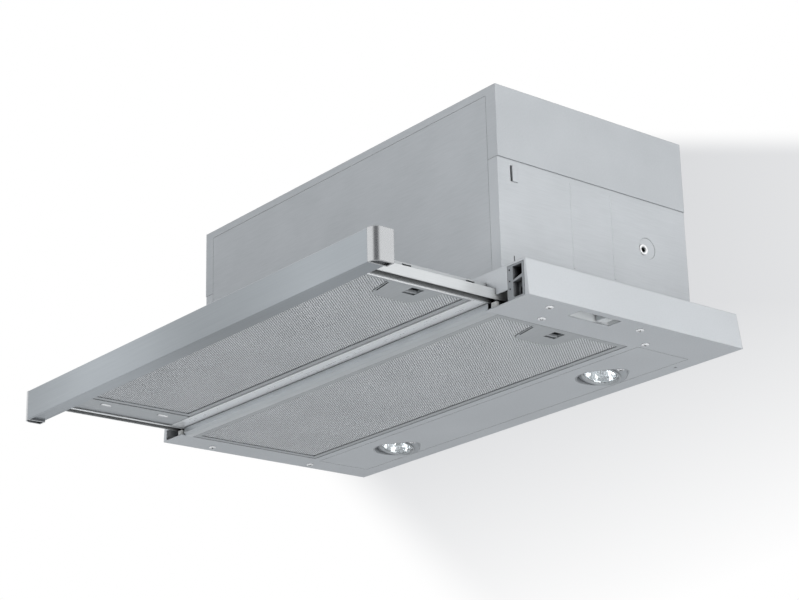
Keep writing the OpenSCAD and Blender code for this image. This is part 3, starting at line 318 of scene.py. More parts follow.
@dataclass(frozen=True)
class SheetMetal(Finish):
    """Rolled, brushed or coated metal with a grain and soft clouds.

    Attributes:
        metallic: Share of bare metal in the surface.
        grain_mm: Width of one grain line.
        streak_mm: Length of one grain line.
        axis: Direction of the grain.
        cloud_mm: Size of the soft patches.
        relief_mm: Height of the grain.
        edge_mm: Radius of the folds and edges.
        sheen: How much lighter and darker the painted sheen bands make the metal along X.
        sheen_mm: Distance between two painted light bands.
        crest_mm: Place of a painted light band along X.
    """

    metallic: float = 0.8
    grain_mm: float = 1.2
    streak_mm: float = 24.0
    axis: Axis = Axis.ALONG_X
    cloud_mm: float = 60.0
    relief_mm: float = 0.02
    edge_mm: float = 0.7
    sheen: float = 0.0
    sheen_mm: float = 390.0
    crest_mm: float = 250.0

    def inputs(self, graph: Graph) -> Inputs:
        """Lay grain over clouds, in colour, roughness and relief, and paint sheen bands into the
        colour.
        """
        place = graph.node("TexCoord").outputs["Object"]
        scales = [1 / (self.grain_mm * MM)] * 3
        scales[self.axis.value] = 1 / (self.streak_mm * MM)
        stretched = graph.node("Mapping", {"Vector": place, "Scale": scales}, vector_type="POINT")
        grain = graph.noise(stretched, 1.0, detail=3.0, roughness=0.6)
        cloud = graph.noise(place, self.cloud_mm * MM)
        both = graph.maths("MULTIPLY_ADD", grain, GRAIN_WEIGHT, cloud)
        paint = graph.blended(graph.ranged(both, CLOUD_RANGE), self.colour, self.tint)
        # Painted sheen: light and dark bands along X that stand in for reflections
        phase = math.pi * (1 - 2 * self.crest_mm / self.sheen_mm)
        pitch = 2 * math.pi / (BAND_RADIANS * self.sheen_mm * MM)
        waves = {"Vector": place, "Scale": pitch, "Phase Offset": phase}
        kind = {"wave_type": "BANDS", "bands_direction": "X", "wave_profile": "SIN"}
        bands = graph.node("TexWave", waves, **kind).outputs["Fac"]
        sheen = graph.ranged(bands, target=(1 - self.sheen, 1 + self.sheen))
        banded = graph.node("VectorMath", {0: paint, "Scale": sheen}, operation="SCALE")
        fold = graph.node("Bevel", {"Radius": self.edge_mm * MM}, samples=4)
        grooves = {"Distance": self.relief_mm * MM, "Height": grain, "Normal": fold}
        return {
            "Base Color": self.shaded(graph, banded),
            "Roughness": self.gloss(graph, grain, GRAIN_RANGE),
            "Normal": graph.node("Bump", {"Strength": 0.5, **grooves}),
            "Metallic": self.metallic,
        }


@dataclass(frozen=True)
class Moulded(Finish):
    """Injection-moulded plastic or fired ceramic with a fine eroded texture.

    Attributes:
        texture_mm: Size of one grain of the texture.
        flow_mm: Size of the flow marks.
        relief_mm: Height of the texture.
    """

    spread: float = 0.08
    texture_mm: float = 0.9
    flow_mm: float = 25.0
    relief_mm: float = 0.03

    def inputs(self, graph: Graph) -> Inputs:
        """Give the plastic its texture and slight flow marks."""
        place = graph.node("TexCoord").outputs["Object"]
        texture = graph.noise(place, self.texture_mm * MM)
        flow = graph.noise(place, self.flow_mm * MM, detail=1.0)
        grains = {"Distance": self.relief_mm * MM, "Height": texture}
        return {
            "Base Color": self.shaded(graph, graph.blended(flow, self.colour, self.tint)),
            "Roughness": self.gloss(graph, texture),
            "Normal": graph.node("Bump", {"Strength": 0.4, **grains}),
        }


@dataclass(frozen=True)
class PressedGlass(Finish):
    """Clear lamp glass with faint pressing marks.

    Attributes:
        ior: Refractive index of soda-lime glass.
        mark_mm: Size of the pressing marks.
    """

    spread: float = 0.02
    ior: float = 1.5
    mark_mm: float = 6.25

    def inputs(self, graph: Graph) -> Inputs:
        """Let light through, with a slight unevenness in the gloss."""
        marks = graph.noise(graph.node("TexCoord").outputs["Object"], self.mark_mm * MM)
        return {
            "Base Color": graph.blended(marks, self.colour, self.tint),
            "Roughness": self.gloss(graph, marks),
            "Transmission Weight": 1.0,
            "IOR": self.ior,
        }


# Skin-passed zinc-coated sheet: cool, matt, with a short soft grain; the side panels' copy is a
# little lighter, as painted light
BOX_FRONT_SHEET = SheetMetal("zinc coated sheet front", "#b7bbbf", "#b0b4b8", 0.55, metallic=0.4)
BOX_SIDE_SHEET = SheetMetal(
    "zinc coated sheet side", "#bdc1c5", "#b5b9bd", 0.55, metallic=0.4, axis=Axis.ALONG_Y
)
# Silver-grey enamel sprayed on steel: even, pale, with a fine flake
BASE_ENAMEL = SheetMetal(
    "silver enamel on steel", "#c0c4c8", "#b9bdc1", 0.45, metallic=0.4, streak_mm=1.6,
    cloud_mm=90.0, edge_mm=1.2
)
# Satin stainless strip, brushed lengthwise: long streaks, with painted sheen bands from light to
# mid grey
FRONT_STAINLESS = SheetMetal(
    "brushed stainless strip", "#aab0b5", "#9ea4a9", 0.34, metallic=1.0, grain_mm=0.45,
    streak_mm=90.0, cloud_mm=150.0, spread=0.05, relief_mm=0.006, sheen=0.13
)
# Die-cast zinc with a satin plating: smooth, brighter than the strip beside it
CAP_CASTING = SheetMetal(
    "satin plated zinc casting", "#cfd1d3", "#c9cbcd", 0.27, spread=0.03, metallic=1.0,
    streak_mm=1.2
)
# Cross bars folded from bright zinc-plated strip: streaks along the fold
CROSS_BAR_STRIP = SheetMetal(
    "zinc plated cross strip", "#ced2d5", "#c4c8cb", 0.36, metallic=0.85, crevice=0.1
)
# The rear bar: the same zinc-plated strip in a lighter colour, as painted light on its underside
REAR_BAR_STRIP = SheetMetal(
    "zinc plated rear strip painted lighter", "#eef0f2", "#eaecee", 0.32, metallic=0.6, crevice=0.7
)
# Zinc-plated runner steel: bright and slightly blue, with rolling lines along it, and painted shade
# deep in its channels
RUNNER_STEEL = SheetMetal(
    "zinc plated runner steel", "#c8cbcd", "#bec1c3", 0.34, crevice=0.0, reach_mm=20.0,
    metallic=0.4, axis=Axis.ALONG_Y
)
# Precoated sheet of the drawer: plain light grey
DRAWER_SHEET = SheetMetal(
    "coated drawer sheet", "#b4b8bb", "#adb1b4", 0.48, metallic=0.35, axis=Axis.ALONG_Y
)
# Rolled aluminium of the filter rims and plates: soft, even, slightly dull
FILTER_ALUMINIUM = SheetMetal("rolled aluminium rim", "#b5b9bc", "#abafb2", 0.45, metallic=0.6)
# Expanded aluminium mesh: bright strands, over inner layers painted darker as the shade between the
# layers
MESH_ALUMINIUM = SheetMetal(
    "expanded aluminium mesh", "#dadde0", "#d1d4d7", 0.42, metallic=0.4, streak_mm=4.0, crevice=0.75
)
MESH_INSIDE_PAINTED_SHADE = SheetMetal(
    "expanded aluminium inner layers", "#95999c", "#898d90", 0.7, metallic=0.3, streak_mm=3.0
)
# Hot-dip galvanised fan housing: flat spangle in patches of two greys
FAN_GALVANISED = SheetMetal(
    "hot dip galvanised sheet", "#b2b6b8", "#989c9f", 0.45, streak_mm=6.0, cloud_mm=14.0
)
# Zinc-plated screws and spindle: bright, near mirror
PLATED_STEEL = SheetMetal(
    "zinc plated hardware", "#f6f7f8", "#ecedee", 0.3, metallic=0.9, crevice=0.4
)
# Zinc for screw heads, pressed rings and rolled hems, painted near white as glints; the screws'
# dark cross is their recess with painted shade in it
PAINTED_GLINT_STEEL = SheetMetal(
    "zinc steel with painted glints", "#f4f5f6", "#eceef0", 0.2, crevice=0.0, reach_mm=2.5,
    metallic=0.55, streak_mm=1.2
)
# Laminated stack and shields with a thin black paint
MOTOR_PAINT = SheetMetal(
    "black painted motor steel", "#2e3032", "#232527", 0.5, metallic=0.2, axis=Axis.ALONG_Z
)
# Aluminium vapour coat on pressed glass facets: a broken mirror
REFLECTOR_COAT = SheetMetal(
    "vapour coated reflector", "#fafbfc", "#f2f4f6", 0.06, metallic=1.0, spread=0.02,
    relief_mm=0.005, crevice=1.0
)
# ABS mouldings: matt and finely eroded, with painted shade deep in the end block's pockets
GREY_ABS = Moulded("moulded grey abs", "#8b8f93", "#808488", 0.5, crevice=0.0, reach_mm=18.0)
CONTROL_ABS = Moulded("moulded pale control abs", "#cfd2d4", "#c7cacc", 0.45, crevice=0.7)
KNOB_ABS = Moulded("moulded knob abs", "#b4b8bb", "#abafb2", 0.45, crevice=0.6)
LAMP_PLASTIC = Moulded("moulded lamp recess", "#a2a6aa", "#989ca0", 0.5)
RING_PLASTIC = Moulded("moulded lamp ring", "#9da1a4", "#93979a", 0.35, crevice=0.05)
# Polypropylene and polyamide: plain black and a slightly cool white
BLACK_PLASTIC = Moulded("moulded black polypropylene", "#232527", "#1c1e20", 0.42)
WHITE_PLASTIC = Moulded("moulded white polyamide", "#e4e6e6", "#d8dada", 0.4)
# Fired ceramic of the lamp capsules: warm white, dull
LAMP_CERAMIC = Moulded("fired lamp ceramic", "#e9e7e0", "#dcd9d1", 0.6, texture_mm=0.6)
# Pressed soda-lime glass: clear, with a trace of unevenness
LAMP_GLASS = PressedGlass("clear lamp glass", "#f7f9fa", "#eef2f3", 0.04)


def dress(finish: Finish, *nodes: str) -> None:
    """Give CAD nodes a finish.

    Args:
        finish: What they are made of.
        nodes: Names of the nodes.
    """
    material = finish.material()
    for name in nodes:
        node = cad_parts[name]
        if not node.material_slots:
            node.data.materials.append(material)
        for held in node.material_slots:
            held.material = material
    LOG.info("dressed %s in %s", ", ".join(nodes), finish.name)


def add_piece(
    name: str,
    body: str,
    finish: Finish,
    build: Callable[[BMesh], None],
    smooth_below: float = 0.0,
) -> bpy.types.Object:
    """Make one piece from mesh code and let it ride on its body.

    Args:
        name: Name of the piece.
        body: CAD body that carries it.
        finish: What it is made of.
        build: Fills the mesh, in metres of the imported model.
        smooth_below: Edges flatter than this many degrees are shaded smooth.

    Returns:
        The new object.
    """
    work = bmesh.new()
    build(work)
    bmesh.ops.recalc_face_normals(work, faces=work.faces)
    limit = math.radians(smooth_below)
    for face in work.faces:
        face.smooth = smooth_below > 0
    for edge in work.edges:
        edge.smooth = len(edge.link_faces) == 2 and edge.calc_face_angle(math.pi) < limit
    mesh = bpy.data.meshes.new(name)
    work.to_mesh(mesh)
    work.free()
    mesh.materials.append(finish.material())
    piece = linked(name, mesh)
    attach(piece, body)
    LOG.info("made %s with %d faces", name, len(mesh.polygons))
    return piece


def turned(
    work: BMesh,
    profile: Sequence[Pair],
    place: Matrix,
    segments: int = 48,
    twist: Callable[[int], float] = lambda ring: 0.0,
) -> None:
    """Add a body turned about the local Z, closed where its profile is.

    Args:
        work: Mesh that takes the body.
        profile: Radius and height of each ring, in millimetres.
        place: Where the body goes.
        segments: Number of steps round.
        twist: Turn of each ring, in steps.
    """
    rings: list[list[bmesh.types.BMVert]] = []
    for index, (radius, height) in enumerate(profile):
        if radius <= 0:
            rings.append([work.verts.new(place @ Vector((0, 0, height * MM)))])
            continue
        ring = []
        for step in range(segments):
            angle = 2 * math.pi * (step + twist(index)) / segments
            point = Vector((radius * math.cos(angle), radius * math.sin(angle), height)) * MM
            ring.append(work.verts.new(place @ point))
        rings.append(ring)
    for low, high in zip(rings, rings[1:]):
        for step in range(segments):
            after = (step + 1) % segments
            places = ((low, step), (low, after), (high, after), (high, step))
            corners = list(dict.fromkeys(ring[index % len(ring)] for ring, index in places))
            if len(corners) > 2:
                work.faces.new(corners)


# Studio


@dataclass(frozen=True)
class SoftBox:
    """One soft lamp over or under the hood.

    Attributes:
        name: Name of the lamp.
        place: Where it hangs, in metres.
        size: Width and height of its face, in metres.
        watts: Its power.
        tint: Colour of its light.
    """

    name: str
    place: Triple
    size: Pair
    watts: float
    tint: Triple = (1.0, 1.0, 1.0)

    def hang(self, target: Vector) -> None:
        """Hang the lamp, out of the metal's sight.

        Args:
            target: What it points at, in metres.
        """
        light = bpy.data.lights.new(self.name, "AREA")
        light.shape = "RECTANGLE"
        light.size, light.size_y = self.size
        light.energy = self.watts
        light.color = self.tint
        lamp = linked(self.name, light)
        lamp.location = self.place
        lamp.visible_glossy = False
        lamp.rotation_mode = "QUATERNION"
        lamp.rotation_quaternion = (target - Vector(self.place)).to_track_quat("-Z", "Y")


@dataclass(frozen=True)
class CastShadow:
    """The hood's soft shadow, painted on the white surround.

    Right and down are tangents of angles from the lens's axis. Each pair is where one
    side of the shadow begins and where it is full.

    Attributes:
        ahead: Share of the axis in a direction, which keeps the shadow before the lens.
        left: Left side, by right.
        low: Where it runs on under the hood, by down.
        top: Upper side, by down.
        lean: Weights of right and down in the distance from the leaning side.
        slant: Leaning side, by that distance.
        depth: Share of the shadow's colour at the axis.
        slope_right: How that share changes to the right.
        slope_down: How much of it is lost downward.
        white: sRGB colour of the open surround.
        colour: sRGB colour of the full shadow.
    """

    ahead: Pair = (0.3, 0.6)
    left: Pair = (-0.012, 0.01)
    low: Pair = (0.06, 0.08)
    top: Pair = (-0.083, -0.069)
    lean: Pair = (0.7435, -0.6691)
    slant: Pair = (-0.0862, -0.0572)
    depth: float = 1.39
    slope_right: float = -2.87
    slope_down: float = 6.88
    white: str = "#ffffff"
    colour: str = "#dbdcde"

    def paint(self, graph: Graph, along: Link, below: Link, ahead: Link) -> Socket:
        """Paint the surround with the shadow on it.

        Args:
            graph: The world's graph.
            along: Share of the picture's right in each direction.
            below: Share of the picture's lower edge.
            ahead: Share of the lens's axis.

        Returns:
            Colour of the surround in each direction.
        """
        maths = graph.maths
        right, down = maths("DIVIDE", along, ahead), maths("DIVIDE", below, ahead)
        slant = maths("MULTIPLY_ADD", right, self.lean[0], maths("MULTIPLY", down, self.lean[1]))
        sides = ((right, self.left), (down, self.low))
        beyond = (graph.ranged(value, side, soft=True) for value, side in sides)
        lost = maths("MAXIMUM", maths("MULTIPLY", down, self.slope_down), 0.0)
        share = maths("MULTIPLY_ADD", right, self.slope_right, self.depth)
        share = maths("MAXIMUM", maths("SUBTRACT", share, lost), 0.0)
        share = maths("MULTIPLY", maths("MINIMUM", share, 1.0), maths("MAXIMUM", *beyond))
        for value, side in ((ahead, self.ahead), (down, self.top), (slant, self.slant)):
            share = maths("MULTIPLY", share, graph.ranged(value, side, soft=True))
        return graph.blended(share, self.white, self.colour)


@dataclass
class Studio:
    """Camera, floor, world and lamps.

    Attributes:
        eye: Camera's place on the drawing, in millimetres.
        right: Direction of the picture's right.
        down: Direction of the picture's lower edge.
        focal_px: Focal length in pixels of the photograph.
        frame_px: Width of the photograph.
        floor_z: Height of the floor, in metres.
        floor_half: Half width of the floor, in metres.
        floor_patch: Size of the floor's faint patches, in metres.
        floor_glow: Brightness of the floor that metal mirrors.
        floor_left: The same for the floor's far left.
        left_fade: X where the far left begins to fade and where it is gone, in metres.
        front_fade: The same along Y, toward the rear.
        floor_pale: How much paler the lens sees the floor.
        fill: Strength of the even light from all round.
        shadow: The hood's shadow, painted on the surround.
        strip_side: Direction of the dark strip that metal mirrors, beside the lens.
        strip_range: Shares of that direction where the strip begins and is full.
        strip_colour: sRGB colour of the strip.
        target: What the lamps point at, in metres.
        lamps: The soft lamps.
    """

    eye: Triple = (1566.1, -1180.5, -606.0)
    right: Vector = field(default_factory=lambda: Vector((0.625259, 0.780094, -0.022469)))
    down: Vector = field(default_factory=lambda: Vector((-0.270457, 0.18959, -0.94388)))
    focal_px: float = 2066.9
    frame_px: float = 799.0
    floor_z: float = -2.3
    floor_half: float = 14.0
    floor_patch: float = 5 / 3
    floor_glow: float = 0.62
    floor_left: float = 1.5
    left_fade: Pair = (-6.6, -4.6)
    front_fade: Pair = (3.5, 4.1)
    floor_pale: float = 0.42
    fill: float = 0.5
    shadow: CastShadow = CastShadow()
    strip_side: Triple = (0.78, -0.63, 0.0)
    strip_range: Pair = (0.72, 0.9)
    strip_colour: str = "#6c6d6f"
    target: Triple = (0.0, 0.0, -0.12)
    lamps: Sequence[SoftBox] = (
        SoftBox("right soft box", (2.3, -0.6, 0.0), (1.6, 1.8), 33.5, (1.0, 0.982, 0.955)),
        SoftBox("front soft box", (-1.2, -2.8, 0.4), (2.0, 1.6), 17.0),
        SoftBox("low soft box", (1.9, -0.9, -1.6), (1.8, 1.6), 34.0),
    )

    def set_camera(self) -> None:
        """Place the camera that the photograph was solved for, without shift."""
        sensor = 36.0
        lens = bpy.data.cameras.new("studio camera")
        lens.sensor_width = sensor
        lens.lens = self.focal_px / self.frame_px * sensor
        lens.clip_start, lens.clip_end = 0.05, 60.0
        camera = linked("studio camera", lens)
        right = self.right.normalized()
        up = (-self.down + self.down.dot(right) * right).normalized()
        back = right.cross(up)
        turn = Matrix((right, up, back)).transposed().to_4x4()
        camera.matrix_world = Matrix.Translation(drawn(*self.eye)) @ turn
        bpy.context.scene.camera = camera

    def lay_floor(self) -> None:
        """Lay a pale matt floor well below the hood."""
        half = self.floor_half
        corners = [(-half, -half), (half, -half), (half, half), (-half, half)]
        mesh = bpy.data.meshes.new("floor")
        mesh.from_pydata([(x, y, self.floor_z) for x, y in corners], [], [(0, 1, 2, 3)])
        material = bpy.data.materials.new("pale studio floor")
        graph = Graph.of(material)
        graph.node("OutputMaterial", {"Surface": self.floor_surface(graph)})
        mesh.materials.append(material)
        linked("floor", mesh)

    def floor_surface(self, graph: Graph) -> Node:
        """Matt paint for light, an even glow for metal and glass, and a paler lens view.

        Args:
            graph: The floor material's graph.

        Returns:
            The node with the surface.
        """
        place = graph.node("TexCoord").outputs["Object"]
        paint = graph.blended(graph.noise(place, self.floor_patch), "#eceded", "#e8e9ea")
        matt = graph.node("BsdfPrincipled", {"Base Color": paint, "Roughness": 0.8})
        sides = graph.node("SeparateXYZ", {0: place}).outputs
        levels = (self.floor_left, self.floor_glow)
        far_left = graph.ranged(sides[0], self.left_fade, levels, soft=True)
        rear = graph.ranged(sides[1], self.front_fade, soft=True)
        glow = graph.node("Mix", {0: rear, 2: far_left, 3: self.floor_glow}, data_type="FLOAT")
        path = graph.node("LightPath").outputs
        glass = path["Is Transmission Ray"]
        strength = graph.maths("MAXIMUM", glow, glass)
        mirrored = graph.node("Emission", {"Color": linear("#f3f5f7"), "Strength": strength})
        shown = graph.maths("MAXIMUM", path["Is Glossy Ray"], glass)
        both = graph.node("MixShader", {0: shown, 1: matt, 2: mirrored})
        seen = graph.maths("MULTIPLY", path["Is Camera Ray"], self.floor_pale)
        paler = graph.node("Emission", {"Color": linear("#f6f7f8"), "Strength": seen})
        return graph.node("AddShader", {0: both, 1: paler})

    def surround(self, graph: Graph) -> Socket:
        """White surround with the hood's painted shadow, and a painted dark strip that only metal
        mirrors.

        Args:
            graph: The world's graph.

        Returns:
            Colour of the surround in each direction.
        """
        look = graph.node("TexCoord").outputs["Generated"]
        right = self.right.normalized()
        down = (self.down - self.down.dot(right) * right).normalized()
        axes = (right, down, right.cross(down))
        wall = self.shadow.paint(graph, *(graph.share_of(look, axis) for axis in axes))
        facing = graph.ranged(graph.share_of(look, self.strip_side), self.strip_range, soft=True)
        mirrored = graph.node("LightPath").outputs["Is Glossy Ray"]
        return graph.blended(graph.maths("MULTIPLY", facing, mirrored), wall, self.strip_colour)

    def set_world(self) -> None:
        """Light evenly from all round, and show lens, metal and glass a white surround."""
        world = bpy.data.worlds.new("studio surround")
        bpy.context.scene.world = world
        graph = Graph.of(world)
        surround = graph.node("Background", {"Color": self.surround(graph), "Strength": 1.0})
        light = graph.node("Background", {"Color": linear("#e8ebee"), "Strength": self.fill})
        path = graph.node("LightPath").outputs
        shown = graph.maths("MAXIMUM", path["Is Camera Ray"], path["Is Glossy Ray"])
        shown = graph.maths("MAXIMUM", shown, path["Is Transmission Ray"])
        both = graph.node("MixShader", {0: shown, 1: light, 2: surround})
        graph.node("OutputWorld", {"Surface": both})

    def build(self) -> None:
        """Set up the whole studio."""
        bpy.context.scene.view_settings.view_transform = "Standard"
        self.set_camera()
        self.lay_floor()
        self.set_world()
        for lamp in self.lamps:
            lamp.hang(Vector(self.target))


# Sub-assemblies


class Assembly:
    """One sub-assembly of the hood, dressed first and then built."""

    def dress(self) -> None:
        """Give its CAD nodes their finishes."""
        raise NotImplementedError

    def build(self) -> None:
        """Make the pieces that are too fine for the solids, where it has any."""


@dataclass
class UpperBox(Assembly):
    """Sheet box over the base, with its spigot.

    Attributes:
        side_x: Outside of the side panels.
        dimple_y: Place of the fixing dimple.
        dimple_z: Height of the fixing dimple.
        dimple_ring: Radius and height of its pressed ring's outline.
    """

    side_x: float = 244.0
    dimple_y: float = 207.0
    dimple_z: float = 104.0
    dimple_ring: Sequence[Pair] = (
        (5.6, -0.2), (5.2, 0.5), (4.5, 0.75), (3.7, 0.45), (2.8, -0.2), (5.6, -0.2)
    )

    def dress(self) -> None:
        """Dress the box's sheets and the spigot."""
        dress(BOX_FRONT_SHEET, "front_panel", "back_panel", "top_cover")
        dress(BOX_SIDE_SHEET, "side_panel_left", "side_panel_right")
        dress(BLACK_PLASTIC, "outlet_collar", "flap_front", "flap_rear", "cable_gland")

    def build(self) -> None:
        """Press a ring round each side fixing hole, painted near white as a highlight."""
        for side in Side:
            tilt = Matrix.Rotation(math.radians(90 * side.value), 4, "Y")
            middle = drawn(side.value * self.side_x, self.dimple_y, self.dimple_z)
            place = Matrix.Translation(middle) @ tilt
            add_piece(
                f"fixing_dimple_{side.label}", "hood", PAINTED_GLINT_STEEL,
                lambda work: turned(work, self.dimple_ring, place), smooth_below=50
            )


@dataclass
class FanUnit(Assembly):
    """Double-inlet blower, its motor and the electrical pieces."""

    def dress(self) -> None:
        """Dress the blower, the motor and the electrical pieces."""
        dress(FAN_GALVANISED, "scroll_shell", "scroll_plate_left", "scroll_plate_right")
        dress(BLACK_PLASTIC, "impeller", "terminal_box", "drawer_switch")
        dress(PLATED_STEEL, "motor_shaft", "motor_bracket")
        dress(MOTOR_PAINT, "motor_body", "transformer")
        dress(WHITE_PLASTIC, "capacitor")
        dress(GREY_ABS, "terminal_box_lid", "switch_plunger")


@dataclass(frozen=True)
class CrossScrew:
    """Pan-head screw with a cross recess, drawn head down.

    Attributes:
        head_r: Radius of the head.
        head_h: Height of the head.
        shank_r: Radius of the shank.
        shank_len: Length of the shank.
        rim: Height of the head's straight rim, as a share of the head's height.
        steps: Steps of the head's dome.
        arm: Length of one arm of the cross, as a share of the head's radius.
        slot: Width of the arms, as the same share.
        recess: Depth of the cross, as a share of the head's height.
    """

    head_r: float
    head_h: float
    shank_r: float
    shank_len: float
    rim: float = 0.25
    steps: int = 6
    arm: float = 0.62
    slot: float = 0.3
    recess: float = 0.9

    def prototype(self) -> bpy.types.Mesh:
        """Cut the cross into a turned head and return the mesh."""
        head = bmesh.new()
        rim = self.rim * self.head_h
        profile = [(0.0, self.shank_len), (self.shank_r, self.shank_len), (self.shank_r, 0.0)]
        profile += [(self.head_r, 0.0), (self.head_r, -rim)]
        for step in range(1, self.steps + 1):
            angle = math.pi / 2 * step / self.steps
            radius = self.head_r * math.cos(angle) if step < self.steps else 0.0
            profile.append((radius, -rim - (self.head_h - rim) * math.sin(angle)))
        turned(head, profile, Matrix.Identity(4), segments=28)
        bmesh.ops.recalc_face_normals(head, faces=head.faces)
        body = bpy.data.meshes.new("screw body")
        head.to_mesh(body)
        head.free()
        cutter = bmesh.new()
        size = (2 * self.arm * self.head_r, self.slot * self.head_r, 2 * self.recess * self.head_h)
        scale = Matrix.Diagonal((*(side * MM for side in size), 1))
        for turn in (0, 90):
            place = Matrix.Rotation(math.radians(turn), 4, "Z") @ Matrix.Translation(
                (0, 0, -self.head_h * MM)
            )
            made = bmesh.ops.create_cube(cutter, size=1.0)
            bmesh.ops.transform(cutter, matrix=place @ scale, verts=made["verts"])
        tool = bpy.data.meshes.new("screw recess")
        cutter.to_mesh(tool)
        cutter.free()
        return cut(body, tool)

    def make(self, name: str, places: Iterable[Matrix]) -> bpy.types.Object:
        """Make one piece of screws at several places.

        Args:
            name: Name of the piece.
            places: Where the underside of each head sits.

        Returns:
            The new object.
        """
        shape = self.prototype()

        def add(work: BMesh) -> None:
            """Add a screw at each place."""
            for place in places:
                before = set(work.verts)
                work.from_mesh(shape)
                fresh = [vert for vert in work.verts if vert not in before]
                bmesh.ops.transform(work, matrix=place, verts=fresh)

        return add_piece(name, "hood", PAINTED_GLINT_STEEL, add, smooth_below=40)


def cut(body: bpy.types.Mesh, tool: bpy.types.Mesh) -> bpy.types.Mesh:
    """Cut one mesh out of another.

    Args:
        body: Mesh that is cut.
        tool: Mesh that cuts.

    Returns:
        The cut mesh.
    """
    kept = linked("cut body", body)
    taken = linked("cut tool", tool)
    change = kept.modifiers.new("cut", "BOOLEAN")
    change.operation, change.object, change.solver = "DIFFERENCE", taken, "EXACT"
    change.use_self = True
    seen = kept.evaluated_get(bpy.context.evaluated_depsgraph_get())
    made = bpy.data.meshes.new_from_object(seen)
    for piece in (kept, taken):
        bpy.data.objects.remove(piece)
    return made


@dataclass
class BaseUnit(Assembly):
    """Folded base with its bars, its light panel, its end block and its screws.

    Attributes:
        screw: Screw of the bottom strips.
        screw_places: X and Y of those screws.
        screw_turn: How much further each is turned than the one before, in radians.
        knob_x: Middle of the slider knob.
        knob_y: Middle of the slider knob along the strip.
        rib_width: Length of a grip rib.
        rib_pitch: Distance between two ribs.
        rib_count: Number of ribs.
        rib_outline: Y and Z of a rib's rounded outline.
    """

    screw: CrossScrew = CrossScrew(head_r=3.8, head_h=1.8, shank_r=2.0, shank_len=4.0)
    screw_places: Sequence[Pair] = (
        (255.0, 55.0), (255.0, 189.0), (-285.0, 55.0), (-285.0, 189.0),
        (283.0, 39.0), (283.0, 154.0)
    )
    screw_turn: float = 0.5
    knob_x: float = 282.25
    knob_y: float = 109.5
    rib_width: float = 11.0
    rib_pitch: float = 2.2
    rib_count: int = 4
    rib_outline: Sequence[Pair] = (
        (-0.6, 1.05), (-0.4, 0.6), (0.0, 0.5), (0.4, 0.6), (0.6, 1.05)
    )

    def dress(self) -> None:
        """Dress the folded sheets and the mouldings."""
        dress(BASE_ENAMEL, "base_tray", "light_panel", "middle_stiffener")
        dress(CROSS_BAR_STRIP, "front_cross_bar")
        dress(GREY_ABS, "end_block_right")
        dress(CONTROL_ABS, "control_housing")
        dress(KNOB_ABS, "control_knob")
        dress(WHITE_PLASTIC, "runner_end_stops")

    def build(self) -> None:
        """Make the cross-recessed screws and the knob's grip ribs."""
        places = [
            Matrix.Translation(drawn(x, y, 0.0)) @ Matrix.Rotation(self.screw_turn * index, 4, "Z")
            for index, (x, y) in enumerate(self.screw_places)
        ]
        screws = self.screw.make("strip_screws", places)
        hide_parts("base_screws")
        add_piece("knob_grip_ribs", "speed_slider", CONTROL_ABS, self.add_ribs)

    def add_ribs(self, work: BMesh) -> None:
        """Add rounded grip ribs across the knob's lower face.

        Args:
            work: Mesh that takes the ribs.
        """
        count = len(self.rib_outline)
        for index in range(self.rib_count):
            y = self.knob_y + (index - (self.rib_count - 1) / 2) * self.rib_pitch
            left, right = (
                [work.verts.new(drawn(x, y + dy, z)) for dy, z in self.rib_outline]
                for x in (self.knob_x - self.rib_width / 2, self.knob_x + self.rib_width / 2)
            )
            for a in range(count):
                b = (a + 1) % count
                work.faces.new((left[a], left[b], right[b], right[a]))
            work.faces.new(left)
            work.faces.new(list(reversed(right)))


